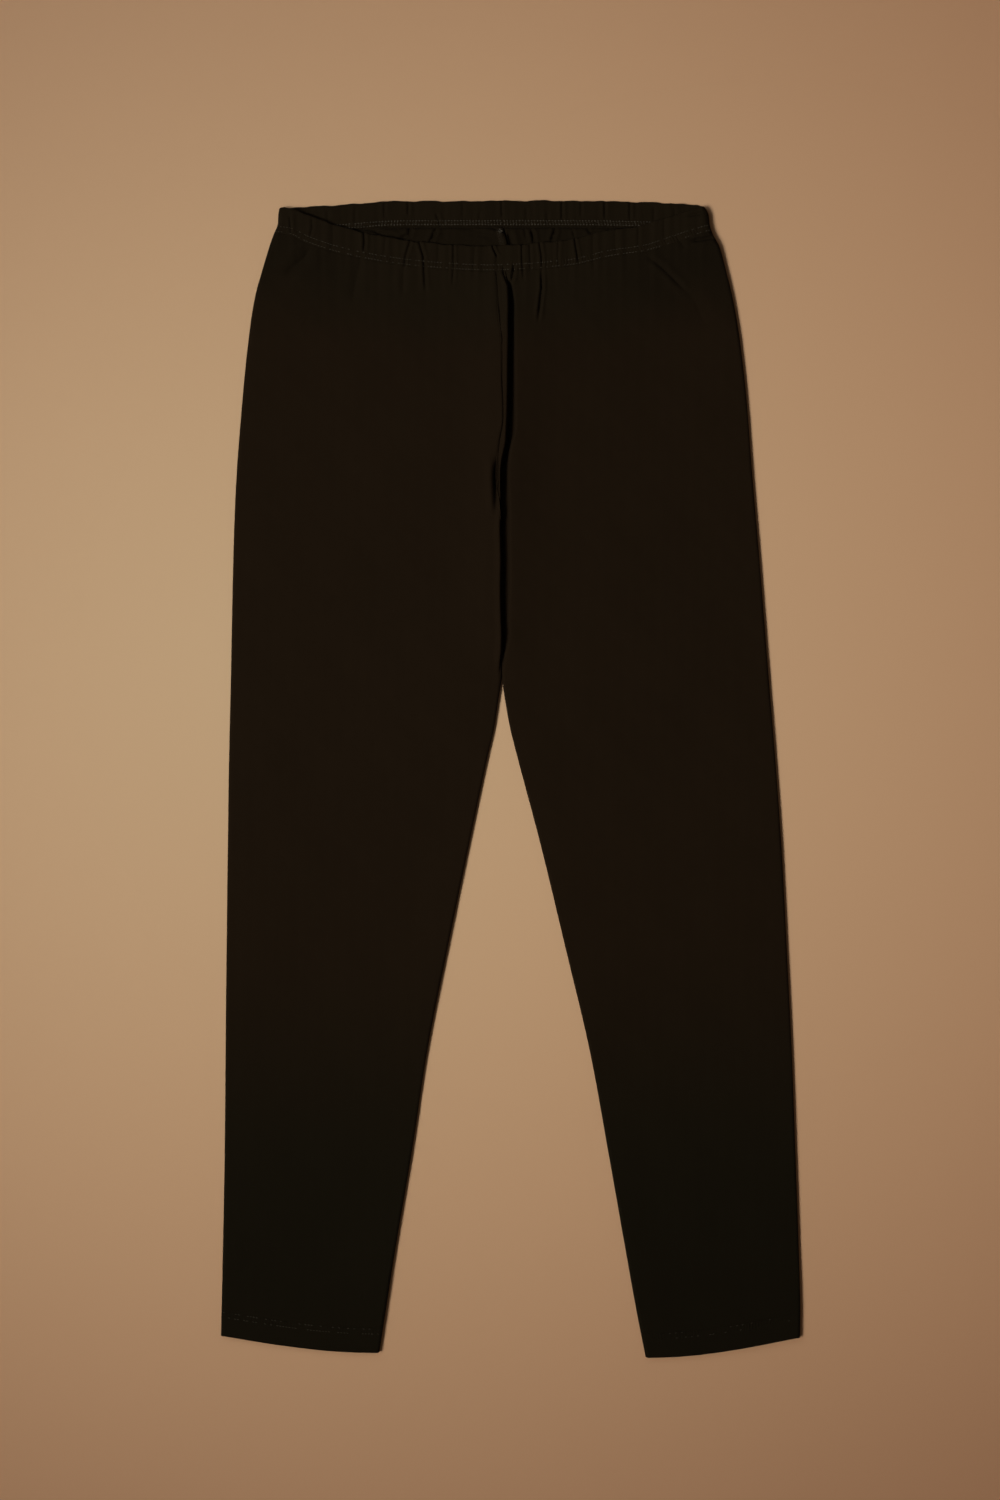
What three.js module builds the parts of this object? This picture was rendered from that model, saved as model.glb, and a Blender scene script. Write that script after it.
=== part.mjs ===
import * as THREE from 'three';

// Jersey leggings laid flat, front side up: two one-piece legs folded at the side and sewn at the inseam, a
// gathered waistband over elastic, two turned-up hems, and the overlocked edge inside the centre back seam.
// Millimetres. X runs to the wearer's left, Y towards the waist and Z up from the surface the cloth lies on.
// The origin is under the middle of the garment. A drop is a distance below the top of the back waistband, and
// a depth is a distance below the waist edge, which dips at the front.

// Driving dimensions
const LENGTH = 944;
const CLOTH = 1.2;
const SEAM_GAP = 0.3;
const BAND_DEPTH = 21;
const BAND_THICKNESS = 2.6;
const HEM_DEPTH = 20;
const HEM_THICKNESS = 2.2;
const CROTCH_DROP = 391;
const ALLOWANCE_WIDTH = 6;
const ALLOWANCE_THICKNESS = 1.1;
const ALLOWANCE_BEVEL = 0.2;
const FOLDED_LIP = 1;

// The drop of the waist edge, front and back, at a share of the way across from the right side to the left.
const WAIST_EDGE = [
  { across: 0, front: 6.3, back: 6.3 },
  { across: 0.03, front: 8, back: 5 },
  { across: 0.075, front: 14.5, back: 4.5 },
  { across: 0.155, front: 23, back: 2.6 },
  { across: 0.25, front: 30, back: 0.3 },
  { across: 0.36, front: 34.8, back: 0 },
  { across: 0.5, front: 37.2, back: 0 },
  { across: 0.67, front: 32.6, back: 0 },
  { across: 0.75, front: 26, back: 0.2 },
  { across: 0.845, front: 21, back: 0.9 },
  { across: 0.91, front: 14.5, back: 1.7 },
  { across: 0.96, front: 9.5, back: 2.2 },
  { across: 1, front: 5.8, back: 3.2 },
];

// Where the two side folds lie, as X, at each drop.
const SIDES = [
  { drop: 0, right: -189, left: 154.5 },
  { drop: 5, right: -189.4, left: 156.5 },
  { drop: 8, right: -190, left: 158.6 },
  { drop: 12, right: -190.6, left: 160.4 },
  { drop: 20, right: -191.2, left: 161.3 },
  { drop: 28, right: -194.5, left: 163.9 },
  { drop: 38, right: -198, left: 169.3 },
  { drop: 56, right: -203.5, left: 174.3 },
  { drop: 80, right: -210, left: 180.2 },
  { drop: 113, right: -215, left: 185.9 },
  { drop: 162, right: -220, left: 191.4 },
  { drop: 227, right: -225, left: 196.4 },
  { drop: 292, right: -227.5, left: 201.9 },
  { drop: 391, right: -229.5, left: 209.7 },
  { drop: 456, right: -231, left: 214.9 },
  { drop: 529, right: -232, left: 220.1 },
  { drop: 611, right: -233, left: 224.3 },
  { drop: 693, right: -233.8, left: 228.3 },
  { drop: 775, right: -234.5, left: 231.3 },
  { drop: 856, right: -236, left: 234.1 },
  { drop: 905, right: -237, left: 235.4 },
  { drop: 944, right: -238, left: 234.6 },
];

// Where the two inseam folds lie, as X, at each drop from the crotch down.
const INSEAMS = [
  { drop: 391, right: -8.5, left: -8 },
  { drop: 407, right: -11, left: -5.8 },
  { drop: 432, right: -14.9, left: -1.2 },
  { drop: 456, right: -20.4, left: 4.9 },
  { drop: 529, right: -35.8, left: 24.2 },
  { drop: 611, right: -52.7, left: 43.9 },
  { drop: 693, right: -69, left: 63.3 },
  { drop: 775, right: -81.5, left: 78.3 },
  { drop: 856, right: -95.2, left: 92.6 },
  { drop: 905, right: -102.8, left: 101.4 },
  { drop: 944, right: -108.8, left: 109 },
];

// The centre of the garment at each drop: the front and back seams, and the deep fold beside the front seam,
// with the height of its floor and how far the cloth around it stands above the rest.
const CENTRE = [
  { drop: 0, frontSeam: -14, backSeam: -8, foldAt: -6, foldFloor: 9, lift: 0 },
  { drop: 20, frontSeam: -13.5, backSeam: -7.5, foldAt: -6, foldFloor: 9, lift: 0 },
  { drop: 38, frontSeam: -14, backSeam: -3.5, foldAt: -6, foldFloor: 8, lift: 0 },
  { drop: 56, frontSeam: -12, backSeam: -5.5, foldAt: -5.5, foldFloor: 5.6, lift: 0.2 },
  { drop: 70, frontSeam: -12.5, backSeam: -9, foldAt: -1.5, foldFloor: 3.4, lift: 0.8 },
  { drop: 96, frontSeam: -10, backSeam: -9.5, foldAt: 0.5, foldFloor: 2.8, lift: 1.6 },
  { drop: 140, frontSeam: -8.5, backSeam: -9.5, foldAt: -0.5, foldFloor: 2.8, lift: 2 },
  { drop: 180, frontSeam: -6.5, backSeam: -9.5, foldAt: 1, foldFloor: 2.8, lift: 2 },
  { drop: 209, frontSeam: -12, backSeam: -9.5, foldAt: -5, foldFloor: 2.8, lift: 1.9 },
  { drop: 226, frontSeam: -14, backSeam: -9.5, foldAt: -8, foldFloor: 2.9, lift: 1.8 },
  { drop: 245, frontSeam: -12.5, backSeam: -9.5, foldAt: -9, foldFloor: 2.8, lift: 1.7 },
  { drop: 268, frontSeam: -8.5, backSeam: -9, foldAt: -8, foldFloor: 2.7, lift: 1.6 },
  { drop: 300, frontSeam: -7, backSeam: -8.5, foldAt: -7, foldFloor: 2.7, lift: 1.3 },
  { drop: 345, frontSeam: -6.5, backSeam: -8, foldAt: -6.5, foldFloor: 2.7, lift: 0.9 },
  { drop: 372, frontSeam: -8, backSeam: -8, foldAt: -8, foldFloor: 2.7, lift: 0.6 },
  { drop: 391, frontSeam: -8.2, backSeam: -8.2, foldAt: -8.2, foldFloor: 2.7, lift: 0.3 },
];

// How high the garment lies at each depth: the middle of the front, the rounded side folds and the inseam.
const HEIGHTS = [
  { depth: 0, middle: 6.3, right: 7.8, left: 8.8, inseam: 4.6 },
  { depth: 21, middle: 6.4, right: 7.6, left: 8.6, inseam: 4.6 },
  { depth: 48, middle: 5.6, right: 6.2, left: 6.8, inseam: 4.6 },
  { depth: 90, middle: 4.6, right: 5.4, left: 5.6, inseam: 4.6 },
  { depth: 160, middle: 4.1, right: 5, left: 5, inseam: 4.6 },
  { depth: 300, middle: 3.9, right: 4.8, left: 4.8, inseam: 4.6 },
  { depth: 850, middle: 4, right: 4.8, left: 4.8, inseam: 4.8 },
  { depth: 906, middle: 5.3, right: 5.8, left: 5.8, inseam: 5.8 },
  { depth: 944, middle: 5.3, right: 5.8, left: 5.8, inseam: 5.8 },
];

// Gathers of the waist. Each crosses the band at a distance from the centre seam, plus to the wearer's left,
// with the depth and half width of its crease, how far it runs below the band, and how far its foot drifts.
const FRONT_GATHERS = [
  { at: -168, depth: 0.4, width: 2.6, reach: 12, drift: -2 },
  { at: -150, depth: 0.6, width: 2.6, reach: 34, drift: -9 },
  { at: -130, depth: 0.3, width: 3, reach: 18, drift: -2 },
  { at: -108, depth: 0.9, width: 2.6, reach: 42, drift: -9 },
  { at: -91, depth: 0.4, width: 3, reach: 16, drift: -2 },
  { at: -73, depth: 0.8, width: 2.6, reach: 30, drift: -4 },
  { at: -62, depth: 0.9, width: 2.6, reach: 38, drift: 4 },
  { at: -48, depth: 0.4, width: 3, reach: 30, drift: 0 },
  { at: -35, depth: 0.8, width: 2.6, reach: 26, drift: -1 },
  { at: -18, depth: 0.3, width: 3, reach: 22, drift: -2 },
  { at: 8, depth: 0.6, width: 2.6, reach: 12, drift: 4 },
  { at: 21, depth: 0.8, width: 2.6, reach: 14, drift: 1 },
  { at: 37, depth: 1, width: 2.6, reach: 52, drift: -4 },
  { at: 50, depth: 0.4, width: 3, reach: 16, drift: 1 },
  { at: 64, depth: 0.8, width: 2.6, reach: 18, drift: 5 },
  { at: 77, depth: 0.4, width: 3, reach: 26, drift: 1 },
  { at: 96, depth: 0.3, width: 3, reach: 14, drift: 2 },
  { at: 117, depth: 0.5, width: 2.6, reach: 12, drift: 3 },
  { at: 131, depth: 0.4, width: 2.6, reach: 40, drift: 22 },
  { at: 146, depth: 0.4, width: 2.6, reach: 14, drift: 2 },
  { at: 162, depth: 0.3, width: 2.6, reach: 10, drift: 1 },
];
const BACK_GATHERS = [
  { at: -163, depth: 0.4, width: 3, reach: 30, drift: 0 },
  { at: -145, depth: 0.5, width: 3, reach: 36, drift: 0 },
  { at: -122, depth: 0.5, width: 3, reach: 34, drift: 0 },
  { at: -97, depth: 0.7, width: 3, reach: 40, drift: 2 },
  { at: -77, depth: 0.5, width: 3, reach: 30, drift: 0 },
  { at: -52, depth: 0.8, width: 3, reach: 44, drift: -5 },
  { at: -26, depth: 0.4, width: 3, reach: 28, drift: 0 },
  { at: 20, depth: 0.4, width: 3, reach: 32, drift: 0 },
  { at: 34, depth: 0.4, width: 3, reach: 34, drift: 0 },
  { at: 48, depth: 0.8, width: 3, reach: 42, drift: -2 },
  { at: 64, depth: 0.5, width: 3, reach: 30, drift: 0 },
  { at: 84, depth: 0.8, width: 3, reach: 40, drift: 0 },
  { at: 104, depth: 0.7, width: 3, reach: 36, drift: 2 },
  { at: 126, depth: 0.5, width: 3, reach: 34, drift: 0 },
  { at: 148, depth: 0.4, width: 3, reach: 28, drift: 0 },
];

// The two legs. A hem hangs lower at the inseam than at the side, by its sag.
const LEGS = [
  { name: 'right', side: -1, bandHalf: 178, hemDepth: 926.5, hemSag: 13.5 },
  { name: 'left', side: 1, bandHalf: 175, hemDepth: 928, hemSag: 16 },
];

// Shape of the surface
const SCOOP_FADE = [BAND_DEPTH, 170];
const SAG_FADE = [690, 900];
const FOLD_HALF_WIDTH = 5;
const RIDGE = { height: 0.8, fromFold: -6.5, width: 3.5 };
const LIFT_WIDTH = 24;
const SIDE_FALL = 70;
const INSEAM_FALL = 34;
const GATHER_FADE = 1.5;
const BACK_PUFF = { height: 0.6, fade: [BAND_DEPTH, 75], edge: 0.06 };

// How the surface is divided
const SIDE_FOLD_STEPS = 5;
const INSEAM_FOLD_STEPS = 4;
const BAND_DEPTHS = [BAND_DEPTH, 8, FOLDED_LIP];
const GATHERED_DEPTHS = [BAND_DEPTH + SEAM_GAP, 28, 36, 47, 62, 85];
const RISE_DEPTHS = [112, 140, 165, 185, 209, 226, 245, 268, 300, 345, 372];
const LEG_DEPTHS = [CROTCH_DROP, 407, 432, 465, 529, 611, 693, 775, 840, 882];
const ALLOWANCE_DEPTHS = [BAND_DEPTH + 1, 30, 40, 60, 90];
const NEAR_FOLD = [-12, -9, -6.5, -4.5, -3, -1.5, 0, 1.5, 3, 5, 9];
const RISE_SHARES = [0.12, 0.2, 0.3, 0.42, 0.55, 0.68, 0.79, 0.88, 0.95];
const LEG_SHARES = [0, 0.07, 0.16, 0.3, 0.5, 0.7, 0.84, 0.93, 1];
const BACK_SHARES = [0, 0.12, 0.35, 0.6, 0.85, 1];
const CLOSEST_COLUMNS = 1.3;
const EDGE_ROUNDING = 0.25;

// Places in the round of a section, from the inseam or front seam back to the inseam or back seam.
const ROUND = { frontStart: 0.02, frontEnd: 0.45, backStart: 0.55, backEnd: 0.98, arcStep: 0.01 };

const CLOTH_LOOK = { color: 0x19110a, roughness: 0.9, metalness: 0 };
const BAND_LOOK = { color: 0x161109, roughness: 0.88, metalness: 0 };
const HEM_LOOK = { color: 0x130f09, roughness: 0.88, metalness: 0 };
const THREAD_LOOK = { color: 0x2a241b, roughness: 0.8, metalness: 0 };

const { clamp, lerp } = THREE.MathUtils;
const ramp = (range, x) => THREE.MathUtils.smoothstep(x, range[0], range[1]);
const bell = (x, width) => Math.exp(-((x / width) ** 2));

// Reads a column of a table at any place between its rows, on one smooth curve through them.
function read(table, key, column, place) {
  const last = table.length - 1;
  const above = table.findIndex((row) => row[key] > place);
  const i = above < 0 ? last - 1 : Math.max(above - 1, 0);
  const slope = (k) => {
    const before = table[Math.max(k - 1, 0)];
    const after = table[Math.min(k + 1, last)];
    return (after[column] - before[column]) / (after[key] - before[key]);
  };
  const [from, to] = [table[i], table[i + 1]];
  const span = to[key] - from[key];
  const t = clamp((place - from[key]) / span, 0, 1);
  const straight = lerp(from[column], to[column], t * t * (3 - 2 * t));
  return straight + t * (1 - t) * span * ((1 - t) * slope(i) - t * slope(i + 1));
}

// The drop of a point at a depth, on the front or back, at a share of the way from the seam to the side fold.
function dropOf(leg, layer, share, depth) {
  const edge = read(WAIST_EDGE, 'across', layer, (1 + leg.side * share) / 2);
  const sag = leg.hemSag * Math.sin((Math.PI / 2) * (1 - share));
  return depth + edge * (1 - ramp(SCOOP_FADE, depth)) + sag * ramp(SAG_FADE, depth);
}

// Where a point lies, with the side fold's centre and the seam or the inseam fold's centre at its drop.
function placeOf(leg, layer, closed, share, depth) {
  const drop = dropOf(leg, layer, share, depth);
  const sideRadius = read(HEIGHTS, 'depth', leg.name, depth) / 2;
  const inseamRadius = read(HEIGHTS, 'depth', 'inseam', depth) / 2;
  const outer = read(SIDES, 'drop', leg.name, drop) - leg.side * sideRadius;
  const seam = read(CENTRE, 'drop', `${layer}Seam`, drop) + (leg.side * SEAM_GAP) / 2;
  const inseam = read(INSEAMS, 'drop', leg.name, drop) + leg.side * inseamRadius;
  const inner = closed ? inseam : seam;
  return { drop, outer, inner, x: lerp(inner, outer, share), sideRadius, inseamRadius };
}

// How deep the gathers press into the cloth at a share of the way along the band, and a depth.
function pressedBy(gathers, leg, share, depth) {
  const below = Math.max(depth - BAND_DEPTH, 0);
  return gathers
    .filter((gather) => gather.at * leg.side > 0 && gather.reach > below)
    .reduce((sum, gather) => {
      const run = below / gather.reach;
      const offset = share * leg.bandHalf * leg.side - gather.at - gather.drift * run;
      return sum + gather.depth * (1 - run) ** GATHER_FADE * bell(offset, gather.width);
    }, 0);
}

// The height of the front's outer face.
function frontHeight(leg, closed, place, pressed, depth) {
  const middle = read(HEIGHTS, 'depth', 'middle', depth);
  const level = lerp(2 * place.sideRadius, middle, ramp([0, SIDE_FALL], Math.abs(place.outer - place.x)));
  if (closed) {
    return lerp(2 * place.inseamRadius, level, ramp([0, INSEAM_FALL], Math.abs(place.x - place.inner)));
  }
  const fromFold = place.x - read(CENTRE, 'drop', 'foldAt', place.drop);
  const floor = read(CENTRE, 'drop', 'foldFloor', place.drop);
  const lift = read(CENTRE, 'drop', 'lift', place.drop);
  const ridge = RIDGE.height * Math.min(lift, 1) * bell(fromFold - RIDGE.fromFold, RIDGE.width);
  const height = level + lift * bell(fromFold, LIFT_WIDTH) + ridge - pressed;
  return lerp(Math.min(floor, height), height, ramp([0, FOLD_HALF_WIDTH], Math.abs(fromFold)));
}

// How far the back's inner face stands proud of its plain thickness.
function backExtra(leg, share, depth) {
  const fade = 1 - ramp(BACK_PUFF.fade, depth);
  const puff = BACK_PUFF.height * fade * ramp([0, BACK_PUFF.edge], 1 - share);
  return puff - pressedBy(BACK_GATHERS, leg, share, depth);
}

// Sorts the shares of columns and leaves out any that is too close to the one before, keeping both ends.
function spaced(shares, closest) {
  const kept = [0];
  for (const share of [...shares].sort((a, b) => a - b)) {
    if (share - kept[kept.length - 1] >= closest && share <= 1 - closest) kept.push(share);
  }
  return [...kept, 1];
}

// Columns for the gathers: the bottom and both edges of each crease, and the middle of the puff beside it.
function gatherShares(leg, gathers) {
  const mine = gathers.filter((gather) => gather.at * leg.side > 0);
  const centres = mine.map((gather) => Math.abs(gather.at)).sort((a, b) => a - b);
  const places = mine.flatMap(({ at, width }) => [-width, 0, width].map((offset) => Math.abs(at) + offset));
  const puffs = centres.map((centre, i) => (centre + (centres[i + 1] || leg.bandHalf)) / 2);
  return spaced([...places, ...puffs].map((place) => place / leg.bandHalf), CLOSEST_COLUMNS / leg.bandHalf);
}

// Columns of a section's front: even ones, those of the gathers, and close ones at the deep fold.
function frontShares(leg, kind, depth) {
  if (kind === 'leg') return LEG_SHARES;
  if (kind === 'band') return gatherShares(leg, FRONT_GATHERS);
  const { drop, inner, outer } = placeOf(leg, 'front', false, 0, depth);
  const foldAt = read(CENTRE, 'drop', 'foldAt', drop);
  const width = outer - inner;
  const fold = NEAR_FOLD.map((offset) => (foldAt + offset - inner) / width).filter((share) => share > 0);
  const others = kind === 'gathered' ? gatherShares(leg, FRONT_GATHERS) : RISE_SHARES;
  const near = Math.max(0, ...fold);
  return spaced([...fold, ...others.filter((share) => share > near)], CLOSEST_COLUMNS / Math.abs(width));
}

// One section of a leg: from the inseam or the front seam across the front, round the side fold and back.
// A station is a point of the outer face, with its place in the round, the way into the wall, and any extra
// thickness there. A closed section comes back to its start.
function section(leg, kind, depth) {
  const closed = kind === 'leg';
  const gathered = kind === 'gathered' || kind === 'band';
  const stations = [];
  const add = (x, drop, z, at, extra = 0) => stations.push({ x, y: LENGTH / 2 - drop, z, at, extra });
  const arc = (degrees, centre, drop, radius, at) => {
    const turn = THREE.MathUtils.degToRad(degrees);
    add(centre + leg.side * radius * Math.cos(turn), drop, radius + radius * Math.sin(turn), at);
  };
  const inseamArc = (from, to, at) => {
    const { inner, drop, inseamRadius } = placeOf(leg, 'front', true, 0, depth);
    for (let i = from; i < to; i += 1) {
      arc(180 - (180 * i) / INSEAM_FOLD_STEPS, inner, drop, inseamRadius, at + (i - from + 1) * ROUND.arcStep);
    }
  };

  if (closed) inseamArc(0, INSEAM_FOLD_STEPS / 2, -ROUND.arcStep);
  for (const share of frontShares(leg, kind, depth)) {
    const place = placeOf(leg, 'front', closed, share, depth);
    const pressed = pressedBy(FRONT_GATHERS, leg, share, depth);
    const z = frontHeight(leg, closed, place, pressed, depth);
    const at = lerp(ROUND.frontStart, ROUND.frontEnd, share);
    add(place.x, place.drop, z, at, kind === 'band' ? -pressed : 0);
  }
  const [front, back] = ['front', 'back'].map((layer) => placeOf(leg, layer, closed, 1, depth));
  for (let i = 1; i < SIDE_FOLD_STEPS; i += 1) {
    const turned = i / SIDE_FOLD_STEPS;
    const drop = lerp(front.drop, back.drop, turned);
    const at = lerp(ROUND.frontEnd, ROUND.backStart, turned);
    arc(90 - 180 * turned, lerp(front.outer, back.outer, turned), drop, front.sideRadius, at);
  }
  for (const share of (gathered ? gatherShares(leg, BACK_GATHERS) : [...BACK_SHARES]).reverse()) {
    const place = placeOf(leg, 'back', closed, share, depth);
    add(place.x, place.drop, 0, lerp(ROUND.backEnd, ROUND.backStart, share), backExtra(leg, share, depth));
  }
  if (closed) inseamArc(-INSEAM_FOLD_STEPS / 2 + 1, 0, ROUND.backEnd);
  return { closed, stations: withWays(stations, closed, leg.side) };
}

// Finds the way from the outer face into the wall at each station. A cut edge goes straight through.
function withWays(stations, closed, side) {
  const n = stations.length;
  return stations.map((here, i) => {
    const before = stations[(i + n - 1) % n];
    const after = stations[(i + 1) % n];
    const way = new THREE.Vector3(after.z - before.z, 0, before.x - after.x).multiplyScalar(side).normalize();
    if (!closed && i === 0) way.set(0, 0, -1);
    if (!closed && i === n - 1) way.set(0, 0, 1);
    return { ...here, way };
  });
}

// A loop of points at a part of the way into the wall, from 0 on the outer face to 1 on the inner one.
function loopAt(stations, thickness, into) {
  return stations.map((here) => {
    const point = new THREE.Vector3(here.x, here.y, here.z);
    return point.addScaledVector(here.way, into * (thickness + here.extra));
  });
}

// A closed solid from points and triangles, with its faces turned out.
function solidOf(points, triangles) {
  const volume = triangles.reduce((sum, [a, b, c]) => {
    return sum + points[a].dot(new THREE.Vector3().crossVectors(points[b], points[c]));
  }, 0);
  const outward = volume > 0 ? triangles : triangles.map(([a, b, c]) => [a, c, b]);
  const geometry = new THREE.BufferGeometry().setFromPoints(points);
  geometry.setIndex(outward.flat());
  geometry.computeVertexNormals();
  return geometry;
}

// The strip between two rows of point numbers, walked by their places in the round.
function stripBetween(low, lowAt, high, highAt) {
  const triangles = [];
  let [i, j] = [0, 0];
  while (i < low.length - 1 || j < high.length - 1) {
    const lowNext = i < low.length - 1 ? lowAt[i + 1] : Infinity;
    const highNext = j < high.length - 1 ? highAt[j + 1] : Infinity;
    if (lowNext <= highNext) {
      triangles.push([low[i], low[i + 1], high[j]]);
      i += 1;
    } else {
      triangles.push([low[i], high[j + 1], high[j]]);
      j += 1;
    }
  }
  return triangles;
}

// The cut edge of a wall, between its outer and inner rows of point numbers.
function cutEdge(outer, inner) {
  return outer.slice(1).flatMap((next, i) => [
    [outer[i], inner[i], next],
    [next, inner[i], inner[i + 1]],
  ]);
}

// A leg: closed sections up from the hem, then sections open at the seams from the crotch to the waistband.
function legSolid(leg) {
  const hemTop = leg.hemDepth - HEM_DEPTH - SEAM_GAP;
  const depths = [
    ...[hemTop, ...[...LEG_DEPTHS].reverse()].map((depth) => ['leg', depth]),
    ...[...RISE_DEPTHS].reverse().map((depth) => ['rise', depth]),
    ...[...GATHERED_DEPTHS].reverse().map((depth) => ['gathered', depth]),
  ];
  const points = [];
  const rows = depths.map(([kind, depth]) => {
    const { closed, stations } = section(leg, kind, depth);
    const [outer, inner] = [0, 1].map((into) => {
      const numbers = loopAt(stations, CLOTH, into).map((point) => points.push(point) - 1);
      return closed ? [...numbers, numbers[0]] : numbers;
    });
    return { closed, outer, inner, at: [...stations.map((station) => station.at), ...(closed ? [1] : [])] };
  });
  const triangles = rows.slice(1).flatMap((high, k) => [
    ...stripBetween(rows[k].outer, rows[k].at, high.outer, high.at),
    ...stripBetween(high.inner, high.at, rows[k].inner, rows[k].at),
  ]);
  const open = rows.slice(rows.findLastIndex((row) => row.closed));
  const top = rows[rows.length - 1];
  const column = (pick, face) => open.map((row) => pick(row[face]));
  const first = (numbers) => numbers[0];
  const final = (numbers) => numbers[numbers.length - 1];
  triangles.push(
    ...cutEdge(rows[0].outer, rows[0].inner),
    ...cutEdge(column(final, 'outer'), column(final, 'inner')),
    ...cutEdge([...top.outer].reverse(), [...top.inner].reverse()),
    ...cutEdge(column(first, 'outer').reverse(), column(first, 'inner').reverse()),
  );
  return solidOf(points, triangles);
}

// The triangles between each loop and the next, and from the last back to the first if it is a ring.
function bridged(loops, ring) {
  const n = loops[0].length;
  const pairs = loops.map((loop, k) => [k * n, ((k + 1) % loops.length) * n]);
  return pairs.slice(0, ring ? loops.length : -1).flatMap(([here, next]) => {
    return loops[0].flatMap((point, i) => {
      const j = (i + 1) % n;
      return [
        [here + i, next + i, here + j],
        [here + j, next + i, next + j],
      ];
    });
  });
}

// A ring of doubled cloth: along its outer face, round its folded edge and back along its inner face.
function ringSolid(sectionAt, depths, foldDepth, thickness) {
  const rows = [
    ...depths.map((depth) => [depth, 0]),
    [foldDepth, EDGE_ROUNDING],
    [foldDepth, 1 - EDGE_ROUNDING],
    ...[...depths].reverse().map((depth) => [depth, 1]),
  ];
  const loops = rows.map(([depth, into]) => loopAt(sectionAt(depth), thickness, into));
  return solidOf(loops.flat(), bridged(loops, true));
}

// The waistband's section goes round both halves, so the left half is walked backwards.
function waistSection(depth) {
  const [right, left] = LEGS.map((leg) => section(leg, 'band', depth).stations);
  return [...right, ...left.reverse()];
}

function hemSolid(leg) {
  const sectionAt = (depth) => section(leg, 'leg', depth).stations;
  const depths = [leg.hemDepth - HEM_DEPTH, leg.hemDepth - HEM_DEPTH / 2, leg.hemDepth - FOLDED_LIP];
  return ringSolid(sectionAt, depths, leg.hemDepth, HEM_THICKNESS);
}

// The overlocked edge of the centre back seam, pressed to the wearer's right on the inside of the back.
function allowanceSolid() {
  const leg = LEGS[0];
  const loops = ALLOWANCE_DEPTHS.map((depth) => {
    const { x, drop, outer } = placeOf(leg, 'back', false, 0, depth);
    const share = ALLOWANCE_WIDTH / Math.abs(outer - x);
    const base = CLOTH + backExtra(leg, share / 2, depth) + SEAM_GAP;
    const top = base + ALLOWANCE_THICKNESS;
    const corners = [
      [x, base],
      [x, top - ALLOWANCE_BEVEL],
      [x - ALLOWANCE_WIDTH / 2, top],
      [x - ALLOWANCE_WIDTH, top - ALLOWANCE_BEVEL],
      [x - ALLOWANCE_WIDTH, base],
    ];
    return corners.map(([cornerX, z]) => new THREE.Vector3(cornerX, LENGTH / 2 - drop, z));
  });
  const triangles = bridged(loops, false);
  const n = loops[0].length;
  const end = (loops.length - 1) * n;
  for (let i = 1; i < n - 1; i += 1) triangles.push([0, i, i + 1], [end, end + i + 1, end + i]);
  return solidOf(loops.flat(), triangles);
}

const group = new THREE.Group();
const addPiece = (name, geometry, look) => {
  const mesh = new THREE.Mesh(geometry, new THREE.MeshStandardMaterial(look));
  mesh.name = name;
  group.add(mesh);
};

for (const leg of LEGS) {
  addPiece(`leg_${leg.name}`, legSolid(leg), CLOTH_LOOK);
  addPiece(`hem_${leg.name}`, hemSolid(leg), HEM_LOOK);
}
addPiece('waistband', ringSolid(waistSection, BAND_DEPTHS, 0, BAND_THICKNESS), BAND_LOOK);
addPiece('back_seam_allowance', allowanceSolid(), THREAD_LOOK);

export default group;
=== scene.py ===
import math
from typing import NamedTuple

import bmesh
import bpy
import numpy as np
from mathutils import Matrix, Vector


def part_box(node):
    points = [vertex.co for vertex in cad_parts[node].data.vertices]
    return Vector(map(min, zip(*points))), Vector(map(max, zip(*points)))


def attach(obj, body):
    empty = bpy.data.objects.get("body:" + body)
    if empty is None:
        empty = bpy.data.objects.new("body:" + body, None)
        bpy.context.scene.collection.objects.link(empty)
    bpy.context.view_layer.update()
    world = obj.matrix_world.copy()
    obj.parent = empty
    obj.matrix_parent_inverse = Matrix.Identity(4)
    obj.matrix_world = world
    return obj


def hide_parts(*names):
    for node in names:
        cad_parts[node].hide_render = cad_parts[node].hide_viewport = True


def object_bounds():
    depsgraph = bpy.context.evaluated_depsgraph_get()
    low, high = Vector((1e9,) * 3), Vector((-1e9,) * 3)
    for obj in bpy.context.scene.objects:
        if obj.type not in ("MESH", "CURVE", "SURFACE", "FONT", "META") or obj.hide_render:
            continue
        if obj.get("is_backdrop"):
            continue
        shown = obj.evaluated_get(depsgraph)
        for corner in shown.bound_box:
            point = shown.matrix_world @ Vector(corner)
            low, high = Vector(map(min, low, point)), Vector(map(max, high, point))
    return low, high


bl_info = {
    "name": "Laid-flat leggings",
    "version": (1, 0, 0),
    "blender": (4, 5, 0),
    "location": "View3D > Sidebar > Leggings",
    "description": "Dresses a packed pair of jersey leggings with cloth, gathers, seams and cover stitches",
    "category": "Add Mesh",
}

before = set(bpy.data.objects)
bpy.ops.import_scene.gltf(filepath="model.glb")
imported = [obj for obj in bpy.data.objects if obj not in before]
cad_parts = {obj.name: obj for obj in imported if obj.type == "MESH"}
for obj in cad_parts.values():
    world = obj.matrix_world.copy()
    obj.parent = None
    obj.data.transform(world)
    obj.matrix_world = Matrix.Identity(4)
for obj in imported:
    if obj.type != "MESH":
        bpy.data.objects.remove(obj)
CAD_LOW, CAD_HIGH = (list(corner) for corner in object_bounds())

# Lengths below are millimetres, in the frame's own axes: X to the wearer's left, Y to the waist, Z up.
# A drop is a distance below the top of the back waistband, and a depth is one below the waist edge.
MM = 0.001
WAIST_TOP = CAD_HIGH[1] / MM


def table(columns, *rows):
    """A short table with named columns, one row for each section, fold or crease."""
    return dict(zip(columns.split(), np.array(rows, float).T))


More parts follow.
